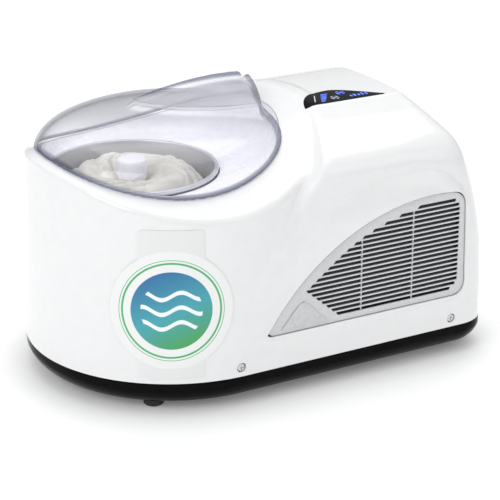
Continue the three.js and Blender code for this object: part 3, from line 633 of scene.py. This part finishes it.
def housing():
    box = ((-219, -148.5, 14.5), (219, 148.5, 252))
    skin = surface("housing_skin", body_field, *box, 3.0)
    lining = surface("housing_lining", lining_field, *box, 5.0)
    skin.data.materials.append(WHITE)
    # The lining takes the near-black painted shade.
    skin.data.materials.append(SHADE_BLACK)
    bm = bmesh.new()
    bm.from_mesh(lining.data)
    bmesh.ops.reverse_faces(bm, faces=bm.faces)
    for face in bm.faces:
        face.material_index = 1
    bm.from_mesh(skin.data)
    plane = Vector((0, 0, (SEAM_Z + 0.3) * MM))
    cut = bmesh.ops.bisect_plane(bm, geom=bm.verts[:] + bm.edges[:] + bm.faces[:], plane_co=plane,
                                 plane_no=(0, 0, 1), clear_inner=True)
    rim = [e for e in cut["geom_cut"] if isinstance(e, bmesh.types.BMEdge)]
    bmesh.ops.triangle_fill(bm, edges=rim, use_beauty=True, normal=(0, 0, -1))
    bmesh.ops.recalc_face_normals(bm, faces=bm.faces)
    bm.to_mesh(skin.data)
    bm.free()
    bpy.data.objects.remove(lining, do_unlink=True)
    cutters = [cylinder("cut_lid", LID_X, 0, 150, 300, LID_R - 7, segments=160)]
    for lo, hi in ((-150, -130), (130, 150)):
        cutters.append(prism("cut_vent", vent_outline(0), lo, hi, "y"))
    cutters.append(prism("cut_screen", display_outline(0.5), 236.5, 270, "z"))
    inlet = rounded([(34.7, 46.7), (85.3, 46.7), (85.3, 77.3), (34.7, 77.3)], 2)
    cutters.append(prism("cut_inlet", inlet, 195, 230, "x"))
    for x, side in SCREWS:
        cutters.append(cylinder("cut_screw", x, SCREW_Z, side * HALF_W - 9, side * HALF_W + 9, 4.6, "y", 32))
    boolean(skin, cutters)
    clean(skin, 0.02, outward=False)
    soften(skin, 30)
    exact_normals(skin, body_field)
    return skin


attach(housing(), "base", ("housing_shell",))


# ---------- base ----------
def plan_outline(inset, n_round=96, n_side=12, n_corner=14, n_end=16):
    half = HALF_W - inset
    corner = max(CORNER_R - inset, 4)
    end = END_X - END_BULGE - inset
    out = []
    for a in np.linspace(np.pi / 2, 3 * np.pi / 2, n_round):
        out.append((DRUM_X + half * math.cos(a), half * math.sin(a)))
    for t in np.linspace(0, 1, n_side)[1:-1]:
        out.append((DRUM_X + t * (end - corner - DRUM_X), -half))
    for a in np.linspace(-np.pi / 2, 0, n_corner):
        out.append((end - corner + corner * math.cos(a), -half + corner + corner * math.sin(a)))
    flat = half - corner
    for t in np.linspace(-1, 1, n_end)[1:-1]:
        out.append((end + END_BULGE * (1 - t * t), flat * t))
    for a in np.linspace(0, np.pi / 2, n_corner):
        out.append((end - corner + corner * math.cos(a), half - corner + corner * math.sin(a)))
    for t in np.linspace(1, 0, n_side)[1:-1]:
        out.append((DRUM_X + t * (end - corner - DRUM_X), half))
    return np.array(out)


def base_tray():
    profile = rounded([(3.2, 29.8), (0.9, 29.8, 0.8), (0.4, 27, 1), (0, 22, 2), (3.0, 15.5, 4), (9.0, 9.4, 3),
                       (12, 8, 1), (16, 8, 0.5), (16, 11.2, 0.5), (11.5, 12.5, 2), (3.2, 22, 2)], 1, steps=4)
    rings = np.array([np.column_stack([plan_outline(i), np.full(len(plan_outline(i)), z)]) for i, z in profile])
    tray = new_object("base_skin", rings.reshape(-1, 3), grid_faces(len(profile), rings.shape[1], True, True))
    floor = prism("base_floor", plan_outline(15.5), 8.3, 11, "z")
    return soften(clean(join("base_moulding", [tray, floor]), 0.001), 40)


dress(base_tray(), BLACK, "base", ("base_tray",))
FEET = [(-141, -96), (-141, 96), (165, -104), (165, 104)]
for i, (x, y) in enumerate(FEET):
    profile = rounded([(0, 0, 0), (7.2, 0), (9.5, 1.6), (9.5, 6), (8.8, 7.7), (0, 7.7, 0)], 0.8, 4, closed=False)
    dress(lathe(f"rubber_foot_{i + 1}", profile, (x, y, 0), 48, closed=False), RUBBER, "base",
          (f"foot_{i + 1}",))


# ---------- screws ----------
def screw(name, x, side):
    profile = rounded([(0, -3.2, 0), (3.9, -3.2, 0.3), (4.2, -2.2, 0.5), (3.6, -0.9, 0.8), (0, -0.5, 0)], 0.5, 5, False)
    head = lathe(name, profile, (x, side * HALF_W, SCREW_Z), 40, closed=False, axis="y", sign=side)
    arm = rounded([(-2.3, -0.45), (2.3, -0.45), (2.3, 0.45), (-2.3, 0.45)], 0.2, 3)
    wall = side * HALF_W
    boolean(head, [prism("cut_cross", bar + np.array([x, SCREW_Z]), wall - 1.9, wall + 1.9, "y")
                   for bar in (arm, arm[:, ::-1])])
    return soften(clean(head), 30)


for i, (x, side) in enumerate(SCREWS):
    dress(screw(f"screw_{i + 1}", x, side), STEEL, "base", (f"housing_screw_{i + 1}",))


# ---------- vents ----------
def slot_rows():
    """Each louvre slot: centre height, left end, right end."""
    rows = []
    for i in range(LOUVRES):
        z = VENT_LOW + 8.3 + i * LOUVRE_PITCH
        rise, fall = max(z - SLOT_KNEE, 0), max(SLOT_KNEE - z, 0)
        start = DRUM_X + 64 + 1.3 * rise + 5.6e-8 * rise ** 5 + 1.15 * fall
        end = DRUM_X + 231 - max(0, (z - VENT_TOP + 15) * 0.9, (VENT_LOW + 15 - z) * 1.2)
        rows.append((z, start, end))
    return rows


def flat_plate(name, outline, holes, y0, y1, bevel):
    """A plate of constant thickness across y, with holes and softened edges."""
    plate = prism(name, outline, min(y0, y1), max(y0, y1), "y")
    if holes:
        cutters = [prism("hole", h, min(y0, y1) - 1, max(y0, y1) + 1, "y") for h in holes]
        boolean(plate, [join("holes", cutters)])
    edge = plate.modifiers.new("edge", "BEVEL")
    edge.width = bevel * MM
    edge.segments = 2
    edge.limit_method = "ANGLE"
    edge.angle_limit = math.radians(50)
    bake(plate)
    return soften(plate, 30)


def vent(side, name):
    face = side * VENT_Y
    slots = []
    for z, start, end in slot_rows():
        lean = 1.3 if z > SLOT_KNEE else -1.3
        lo, hi = z - SLOT_HALF, z + SLOT_HALF
        slots.append(rounded([(start - lean, lo), (end, lo), (end, hi), (start + lean, hi)], 1.0, 4))
    plate = flat_plate(name, vent_outline(0.8), slots, face, face - side * PLATE_T, 0.3)
    plate.data.materials.append(GREY)
    pieces = [plate]
    rows = slot_rows()
    for (z, start, end), above in zip(rows[:-1], rows[1:]):
        section = rounded([(-0.55, 0), (-0.4, 0.5), (0.4, 0.5), (0.55, 0), (0.55, -0.6), (-0.55, -0.6)], 0.2, 3)
        lo, hi = max(start, above[1]) + 1, min(end, above[2]) - 1
        pts = [(x, face + side * dy, z + LOUVRE_PITCH / 2 + dz) for x in (lo, hi) for dz, dy in section]
        n = len(section)
        faces = [[i, (i + 1) % n, n + (i + 1) % n, n + i] for i in range(n)] + [list(range(n)), list(range(n, 2 * n))]
        bar = soften(clean(new_object("slat", pts, faces)), 40)
        bar.data.materials.append(SLAT)
        pieces.append(bar)
    for x in (DRUM_X + 124, DRUM_X + 180):
        tall = [z for z, start, end in rows if start < x][-1] + 2
        outline = np.array([(x - 0.5, VENT_LOW + 6), (x + 0.5, VENT_LOW + 6), (x + 0.5, tall), (x - 0.5, tall)])
        rib = prism("rib", outline, *sorted((face - side * 3, face - side * 1.5)), "y")
        rib.data.materials.append(SLAT)
        pieces.append(rib)
    # A near-black panel behind the slots: painted shade standing in for the dark inside of the housing.
    shade = prism("shade", vent_outline(5), *sorted((face - side * 6, face - side * 5)), "y")
    shade.data.materials.append(SHADE_BLACK)
    pieces.append(shade)
    return join(name, pieces)


attach(vent(-1, "louvre_front"), "base", ("vent_grille_front",))
attach(vent(1, "louvre_rear"), "base", ("vent_grille_rear",))

left = DRUM_X + 37
plate = rounded([(left, VENT_LOW + 4), (left + 50, VENT_LOW + 4), (left + 26, VENT_LOW + 28),
                 (left + 20, VENT_LOW + 27)], 3, 6)
name_plate = flat_plate("name_plate", plate, [], -VENT_Y - 0.3, -VENT_Y - 1.3, 0.3)
dress(name_plate, BADGE, "base", ("badge_plate",))


# ---------- display ----------
def on_roof(outline, lift, thick, name):
    """A closed outline (x, y) laid on the motor roof as a thin solid."""
    piece = prism(name, outline, 0, 1, "z")
    bm = bmesh.new()
    bm.from_mesh(piece.data)
    bmesh.ops.triangulate(bm, faces=bm.faces)
    for _ in range(3):
        long_edges = [e for e in bm.edges if e.calc_length() > 5 * MM]
        bmesh.ops.subdivide_edges(bm, edges=long_edges, cuts=1, use_grid_fill=False)
        bmesh.ops.triangulate(bm, faces=bm.faces)
    x, y, level = np.array([v.co for v in bm.verts]).T / MM
    low, high = np.full(len(x), 200.0), np.full(len(x), 252.0)
    for _ in range(24):
        middle = (low + high) / 2
        solid = body_field(x, y, middle) < 0
        low, high = np.where(solid, middle, low), np.where(solid, high, middle)
    for v, z, part in zip(bm.verts, low, level):
        v.co.z = (z + lift - (0 if part > 0.5 else thick)) * MM
    bm.to_mesh(piece.data)
    bm.free()
    return soften(clean(piece, 0.002), 30)


screen = on_roof(display_outline(0), 0.1, 3.0, "screen_glass")
dress(screen, SCREEN, "base", ("display_panel",))


def capsule(x0, y0, x1, y1, w, n=8):
    a, b = np.array([x0, y0]), np.array([x1, y1])
    d = (b - a) / np.linalg.norm(b - a)
    base = math.atan2(d[1], d[0])
    out = []
    for centre, start in ((b, base - math.pi / 2), (a, base + math.pi / 2)):
        for t in np.linspace(0, math.pi, n):
            out.append(centre + w / 2 * np.array([math.cos(start + t), math.sin(start + t)]))
    return np.array(out)


marks, lights = [], []
sx = DRUM_X
for k in range(7):
    lights.append(capsule(sx + 137 + 1.5 * k, -43 + 2.9 * k, sx + 140.5 + 2.0 * k, -43 + 2.9 * k, 1.2))
marks.append(capsule(sx + 130, -42, sx + 138, -27, 0.9))
for cx, cy, r0 in ((sx + 154, -38, 4.2), (sx + 166, -28, 4.6)):
    arc = np.linspace(0, 2 * np.pi, 28, endpoint=False)
    for k in range(4):
        part = arc[7 * k:7 * k + 6]
        outer = [(cx + r0 * math.cos(a), cy + r0 * math.sin(a)) for a in part]
        inner = [(cx + (r0 - 0.8) * math.cos(a), cy + (r0 - 0.8) * math.sin(a)) for a in part[::-1]]
        (marks if r0 < 4.5 else lights).append(np.array(outer + inner))
for k, h in enumerate((2.2, 3.4, 1.8, 3.8, 2.8)):
    lights.append(capsule(sx + 171 + 4.2 * k, -41, sx + 171 + 4.2 * k, -41 + h, 2.0))
lights.append(capsule(sx + 163, -28, sx + 169, -28, 1.3))
marks.append(capsule(sx + 152, -38, sx + 156, -38, 1.0))
for group, mat, label, lift in ((marks, PALE, "symbol_mark", 0.2), (lights, BLUE, "symbol_light", 0.3)):
    made = []
    for outline in group:
        bit = on_roof(outline, lift, 0.25, "bit")
        bit.data.materials.append(mat)
        made.append(bit)
    attach(join(label, made), "base")


# ---------- label ----------
def label_skin():
    """Label film wrapped on the drum: a round disc on an upright tab with small round corners."""
    turn = math.radians(LABEL_TURN)
    foot, head = LABEL_ENDS
    zs = np.concatenate([np.linspace(foot, 46, 8), np.linspace(46.2, 156, 160), np.linspace(157, head, 12)])
    s = np.linspace(-1, 1, 81)
    corner = 3
    front = []
    for z in zs:
        disc = math.sqrt(max(LABEL_R ** 2 - (z - LABEL_Z) ** 2, 0))
        near_end = max(foot + corner - z, z - head + corner, 0)
        cap = corner - math.sqrt(max(corner ** 2 - near_end ** 2, 0))
        front.append(np.column_stack([s * max(LABEL_TAB - cap, disc), np.full(len(s), z)]))
    flat = np.array(front)

    def bend(radius_up):
        a = turn + flat[..., 0] / HALF_W
        r = HALF_W + radius_up
        z = flat[..., 1]
        draft = np.clip(DRAFT * (z - SEAM_Z), 0, DRAFT_MOST)
        x, y = r * np.cos(a), r * np.sin(a)
        x = np.where(x < 0, x * (HALF_W - draft) / HALF_W, x)
        return np.stack([DRUM_X + x, y, z], -1)
    outer, inner = bend(0.65), bend(0.25)
    nz, ns = outer.shape[:2]
    verts = np.vstack([outer.reshape(-1, 3), inner.reshape(-1, 3)])
    faces = [tuple(f) for f in grid_faces(nz, ns)] + [tuple(f[::-1]) for f in grid_faces(nz, ns, start=nz * ns)]
    loop = [j for j in range(ns)] + [i * ns + ns - 1 for i in range(1, nz)] \
        + [(nz - 1) * ns + j for j in range(ns - 2, -1, -1)] + [i * ns for i in range(nz - 2, 0, -1)]
    m = len(loop)
    faces += [(loop[i], loop[(i + 1) % m], loop[(i + 1) % m] + nz * ns, loop[i] + nz * ns) for i in range(m)]
    obj = new_object("label_film", verts, faces)
    layer = obj.data.uv_layers.new(name="label")
    both = np.vstack([flat.reshape(-1, 2), flat.reshape(-1, 2)])
    for loop_ in obj.data.loops:
        u, z = both[loop_.vertex_index]
        layer.data[loop_.index].uv = (u / 100, (z - LABEL_Z) / 100)
    clean(obj, 0.0001)
    return soften(obj, 50)


def label_material():
    mat = bpy.data.materials.new("label_film")
    nodes, link = links(mat)
    bsdf = nodes["Principled BSDF"]
    bsdf.inputs["Roughness"].default_value = 0.28
    uv = nodes.new("ShaderNodeUVMap")
    uv.uv_map = "label"
    split = nodes.new("ShaderNodeSeparateXYZ")
    link.new(uv.outputs["UV"], split.inputs["Vector"])

    def math_node(op, a, b=None, clamp=False):
        node = nodes.new("ShaderNodeMath")
        node.operation = op
        node.use_clamp = clamp
        for socket, value in zip(node.inputs, (a, b)):
            if value is None:
                continue
            if isinstance(value, (int, float)):
                socket.default_value = value
            else:
                link.new(value, socket)
        return node.outputs[0]
    u, v = split.outputs["X"], split.outputs["Y"]
    length = nodes.new("ShaderNodeVectorMath")
    length.operation = "LENGTH"
    link.new(uv.outputs["UV"], length.inputs[0])
    r = length.outputs["Value"]

    def inside(radius, soft=0.004):
        return math_node("MULTIPLY", math_node("SUBTRACT", radius, r), 1 / soft, True)

    def ring(a, b):
        return math_node("MULTIPLY", inside(b), math_node("SUBTRACT", 1.0, inside(a)), True)

    def mix(fac, a, b):
        node = nodes.new("ShaderNodeMix")
        node.data_type = "RGBA"
        link.new(fac, node.inputs["Factor"])
        for socket, value in ((node.inputs[6], a), (node.inputs[7], b)):
            if isinstance(value, tuple):
                socket.default_value = (*value, 1)
            else:
                link.new(value, socket)
        return node.outputs[2]
    grad = nodes.new("ShaderNodeValToRGB")
    tones = grad.color_ramp.elements
    tones[0].position, tones[0].color = 0.0, (0.06, 0.36, 0.10, 1)
    tones[1].position, tones[1].color = 1.0, (0.02, 0.16, 0.36, 1)
    middle = tones.new(0.45)
    middle.color = (0.05, 0.36, 0.42, 1)
    lean = math_node("ADD", v, math_node("MULTIPLY", u, -0.45))
    link.new(math_node("ADD", math_node("MULTIPLY", lean, 1.3), 0.5, True), grad.inputs["Fac"])
    wave_parts = []
    for offset in (0.14, 0.0, -0.14):
        sway = math_node("MULTIPLY", math_node("SINE", math_node("MULTIPLY", u, 18.0)), 0.035)
        away = math_node("ABSOLUTE", math_node("SUBTRACT", math_node("SUBTRACT", v, offset), sway))
        wave_parts.append(math_node("MULTIPLY", math_node("SUBTRACT", 0.022, away), 250, True))
    wave = math_node("MAXIMUM", math_node("MAXIMUM", wave_parts[0], wave_parts[1]), wave_parts[2])
    wave = math_node("MULTIPLY", wave, inside(0.28))
    paper = nodes.new("ShaderNodeTexNoise")
    paper.inputs["Scale"].default_value = 40
    film = mix(paper.outputs["Fac"], (0.76, 0.775, 0.77), (0.79, 0.805, 0.80))
    colour = mix(inside(0.560), film, (0.84, 0.85, 0.845))
    colour = mix(ring(0.44, 0.458), colour, (0.06, 0.42, 0.14))
    colour = mix(ring(0.475, 0.482), colour, (0.10, 0.45, 0.20))
    colour = mix(inside(0.37), colour, grad.outputs["Color"])
    colour = mix(wave, colour, (0.86, 0.90, 0.92))
    link.new(colour, bsdf.inputs["Base Color"])
    return mat


label = label_skin()
label.data.materials.append(label_material())
attach(label, "base", ("front_label",))


# ---------- deck ----------
def deck():
    n = 160
    angle = np.linspace(0, 2 * np.pi, n, endpoint=False)
    rim_r = LID_R - 7.4
    outer_x, outer_y = LID_X + rim_r * np.cos(angle), rim_r * np.sin(angle)
    inner_r = BOWL_R + 1.0
    inner_x, inner_y = BOWL_X + inner_r * np.cos(angle), inner_r * np.sin(angle)
    high = collar(outer_x, outer_y) - 1.5
    low = 190.0
    rows = []
    for s in np.linspace(0, 1, 40):
        e = s ** 0.9
        x, y = inner_x + (outer_x - inner_x) * e, inner_y + (outer_y - inner_y) * e
        gap = np.hypot(outer_x - inner_x, outer_y - inner_y)
        curl = np.clip((e - 1) * gap / 26 + 1, 0, 1)
        ramp = 0.38 * e ** 1.3 + 0.62 * curl ** 2.4
        rows.append(np.column_stack([x, y, low + (high - low) * ramp]))
    under = [r + np.array([0, 0, -3.0]) for r in rows[::-1]]
    under[0][:, 2] = high - 4
    rings = np.array(rows + under)
    obj = new_object("deck_skin", rings.reshape(-1, 3), grid_faces(len(rings), n, True, True))
    return soften(clean(obj, 0.02), 50)


dress(deck(), DECK_GLOW_PAINTED, "base", ("deck_tray",))


# ---------- lid ----------
FIN = np.vstack([
    bezier((-97, 19), (-88, -14), (-45, -40), (-4, -43), 30),
    bezier((-4, -43), (10.7, -14.3), (21.3, 12.7), (27, 39), 16)[1:],
    bezier((27, 39), (-10, 50), (-60, 34), (-97, 19), 30)[1:-1],
])
fin_far = table_of(FIN, (-210, -130), (50, 130), 1.0)


def lid_outer(x, y, z):
    r = np.hypot(x - LID_X, y)
    height = np.maximum(z - LID_EDGE - math.tan(math.radians(2)) * (x - LID_X), 1e-4) / (LID_TOP - LID_EDGE)
    rho = np.maximum(r, 1e-4) / LID_R
    g = (rho ** LID_N + height ** LID_N) ** (1 / LID_N)
    steep = np.hypot(rho ** (LID_N - 1) / LID_R, height ** (LID_N - 1) / (LID_TOP - LID_EDGE)) * g ** (1 - LID_N)
    dome = np.clip((g - 1) / np.maximum(steep, 1e-4), -40, 40)
    d = fin_far(x, y)
    lip = 253.7 + 0.035 * (x + 4) + 0.075 * y
    side = (d - 4.6 + 0.12 * (z - 250)) / 1.007
    fin = smax(smax(side, z - lip, 4), r - LID_R, 4)
    platform = 249.5 + 0.03 * np.minimum(x + 4, 0)
    scoop = smax((d + 0.4 - 0.4 * (z - 250)) / 1.08, platform - z, 4)
    fin = smax(fin, -scoop, 2.5)
    return smin(dome, fin, 6)


def lid_field(x, y, z):
    f = lid_outer(x, y, z)
    return smax(np.maximum(f, -(f + 2.8)), seat_height(x, y) - z, 1.2)


def seat_height(x, y):
    """Height of the shell's top face under the lid's edge."""
    ay = np.abs(y)
    band = ROOF_Z - ROOF_CROWN * np.minimum(ay / ROOF_FLAT, 1) ** 2 - 0.32 * np.maximum(ay - ROOF_FLAT, 0)
    return smax(collar(x, y), np.minimum(ramp_height(x), band), 9) + 1.0


def lid():
    obj = surface("lid_dome", lid_field, (-203, -121, 176), (40, 121, 262), 1.6)
    soften(obj, 60)
    exact_normals(obj, lid_field, 0.7)
    obj.data.materials.append(LID)
    co = np.empty(len(obj.data.vertices) * 3)
    obj.data.vertices.foreach_get("co", co)
    x, y, z = (co.reshape(-1, 3) / MM).T
    far = fin_far(x, y)
    # Rim and lip layers: where painted shade darkens the lid's lower edge and the top edge of its fin.
    rim = np.clip((seat_height(x, y) + 4 - z) / 1.6, 0, 1)
    lip = np.clip((z - 250.6) / 1.6, 0, 1) * np.clip((far + 1.5) / 1.5, 0, 1)
    milk = np.clip(-far / 2, 0, 1) * np.clip((z - 243) / 2, 0, 1) * np.clip((252 - z) / 1.5, 0, 1)
    for layer, values in (("rim", np.maximum(rim, lip)), ("milk", milk)):
        obj.data.attributes.new(layer, "FLOAT", "POINT").data.foreach_set("value", values)
    return obj


attach(lid(), "lid", ("lid",))


# ---------- bowl, cap, ice cream ----------
FLOOR = BOWL_RIM - 112
bowl_profile = rounded([
    (6.6, FLOOR + 40, 0.4), (6.6, FLOOR, 1), (69, FLOOR, 7), (77, FLOOR + 9, 7), (77, BOWL_RIM - 6.5, 1.5),
    (80, BOWL_RIM - 4, 1.4), (80, BOWL_RIM, 1.6), (76.2, BOWL_RIM, 1.6), (75.3, BOWL_RIM - 7, 2), (75.3, FLOOR + 10, 8),
    (68, FLOOR + 1.7, 7), (8.2, FLOOR + 1.7, 2), (8.2, FLOOR + 40, 0.4)], 1, 6)
dress(lathe("bowl_spun", bowl_profile, (BOWL_X, 0, 0), 160), BOWL, "bowl", ("bowl",))

z0 = BOWL_RIM - 13 + 0.3
cap_profile = rounded([(5.3, z0 + 12, 0.2), (5.3, z0, 0.4), (13.4, z0, 1.0), (13.9, z0 + 14, 0), (13.4, z0 + 19.8, 3.4),
                       (7, z0 + 20.2, 2), (0, z0 + 20.3, 0)], 1, 7, closed=False)
cap_profile = np.vstack([[0, z0 + 12], cap_profile])
dress(lathe("cap_knob", cap_profile, (BOWL_X, 0, 0), 96, closed=False), CAP, "paddle", ("paddle_cap",))


def ice_cream():
    n, m = 320, 110
    angle = np.linspace(0, 2 * np.pi, n, endpoint=False)[:, None]
    s = np.linspace(0, 1, m)[None, :]
    rad = 13.6 + (73.6 - 13.6) * s
    x, y = rad * np.cos(angle), rad * np.sin(angle)
    rng = np.random.default_rng(7)
    lumps = np.zeros_like(x)
    for _ in range(26):
        a, r = rng.uniform(0, 2 * np.pi), rng.uniform(24, 66)
        cx, cy, w, h = r * math.cos(a), r * math.sin(a), rng.uniform(6, 12), rng.uniform(0.5, 2.6)
        lumps += h * np.exp(-((x - cx) ** 2 + (y - cy) ** 2) / (2 * w * w))
    turn = angle + 0.35 * np.sin(3 * angle + 0.6) + rad / 46
    ribbon = np.abs(np.sin(3.5 * turn + rad / 9 + 0.9 * np.sin(2 * turn + rad / 13)))
    crease = np.abs(np.sin(8 * turn - rad / 5.5 + 1.4 * np.sin(turn * 2 + rad / 8)))
    folds = 4.6 * (ribbon ** 0.6 - 0.6) + 2.0 * (crease ** 0.6 - 0.6)
    mound = 26 * (1 - ((rad - 38) / 38) ** 2) * (1 + 0.06 * np.cos(angle - 1.9))
    z = 164 + 0.7 * lumps + folds * (0.3 + 0.7 * np.sin(np.pi * np.clip(s, 0.02, 0.98))) + mound
    top = np.stack([BOWL_X + x, y, z], -1)
    low = FLOOR + 4
    wall = np.stack([top[:, -1, 0], top[:, -1, 1], np.full(n, low + 12)], -1)[:, None]
    core = np.stack([BOWL_X + 0.86 * x[:, -1], 0.86 * y[:, -1], np.full(n, low)], -1)[:, None]
    hub = np.stack([BOWL_X + x[:, 0], y[:, 0], np.full(n, low)], -1)[:, None]
    rings = np.concatenate([top, wall, core, hub], 1)
    obj = new_object("ice_cream", rings.reshape(-1, 3), grid_faces(n, rings.shape[1], True, True))
    clean(obj, 0.01)
    return soften(obj, 70)


CREAM = material("ice_cream", (0.60, 0.585, 0.53), (0.74, 0.725, 0.67), (0.4, 0.6), scale=70, bump=0.8, detail=6)
CREAM.node_tree.nodes["Principled BSDF"].inputs["Subsurface Weight"].default_value = 0.25
CREAM.node_tree.nodes["Principled BSDF"].inputs["Subsurface Radius"].default_value = (0.006, 0.005, 0.004)
dress(ice_cream(), CREAM, "paddle")


# ---------- floor, light, camera ----------
def studio_floor():
    n = 24
    axis = np.linspace(-6000, 6000, n)
    gx, gy = np.meshgrid(axis, axis, indexing="ij")
    obj = new_object("floor", np.stack([gx, gy, 0 * gx - 0.05], -1).reshape(-1, 3), grid_faces(n, n), smooth=False)
    pale = material("floor_pale", (0.93, 0.93, 0.93), (0.945, 0.945, 0.945), (0.5, 0.6), scale=3, emission=0.12)
    obj.data.materials.append(pale)


studio_floor()


def area_light(name, place, target, size, power):
    data = bpy.data.lights.new(name, "AREA")
    data.energy = power
    data.shape = "RECTANGLE"
    data.size = data.size_y = size
    obj = bpy.data.objects.new(name, data)
    bpy.context.scene.collection.objects.link(obj)
    obj.location = place
    obj.rotation_euler = (Vector(target) - Vector(place)).to_track_quat("-Z", "Y").to_euler()


area_light("key", (-1.9, -0.75, 1.5), (-0.05, 0, 0.1), 1.3, 14)
area_light("top", (0.3, 0.5, 2.2), (0.05, 0, 0.2), 2.0, 17)
area_light("fill", (1.2, -2.0, 1.0), (0.05, 0, 0.1), 1.2, 3.2)

world = bpy.data.worlds.new("studio")
bpy.context.scene.world = world
world.use_nodes = True
wn, wl = world.node_tree.nodes, world.node_tree.links
coords = wn.new("ShaderNodeTexCoord")
parts = wn.new("ShaderNodeSeparateXYZ")
tone = wn.new("ShaderNodeValToRGB")
low, high = tone.color_ramp.elements
low.position, low.color = 0.0, (0.46, 0.46, 0.47, 1)
high.position, high.color = 0.6, (0.86, 0.865, 0.87, 1)
wl.new(coords.outputs["Generated"], parts.inputs["Vector"])
wl.new(parts.outputs["Z"], tone.inputs["Fac"])
wl.new(tone.outputs["Color"], wn["Background"].inputs["Color"])
wn["Background"].inputs["Strength"].default_value = 0.95
bpy.context.scene.view_settings.view_transform = "Standard"

camera_data = bpy.data.cameras.new("camera")
camera_data.lens = 129.6
camera_data.sensor_width = 36
camera_data.dof.use_dof = False
camera = bpy.data.objects.new("camera", camera_data)
bpy.context.scene.collection.objects.link(camera)
right = Vector((0.8723, -0.4889, 0.0)).normalized()
ahead = Vector((0.4554, 0.8126, -0.3639)).normalized()
up = right.cross(ahead)
turn = Matrix((right, up, -ahead)).transposed()
camera.matrix_world = Matrix.Translation((-0.7853, -1.4245, 0.7252)) @ turn.to_4x4()
bpy.context.scene.camera = camera
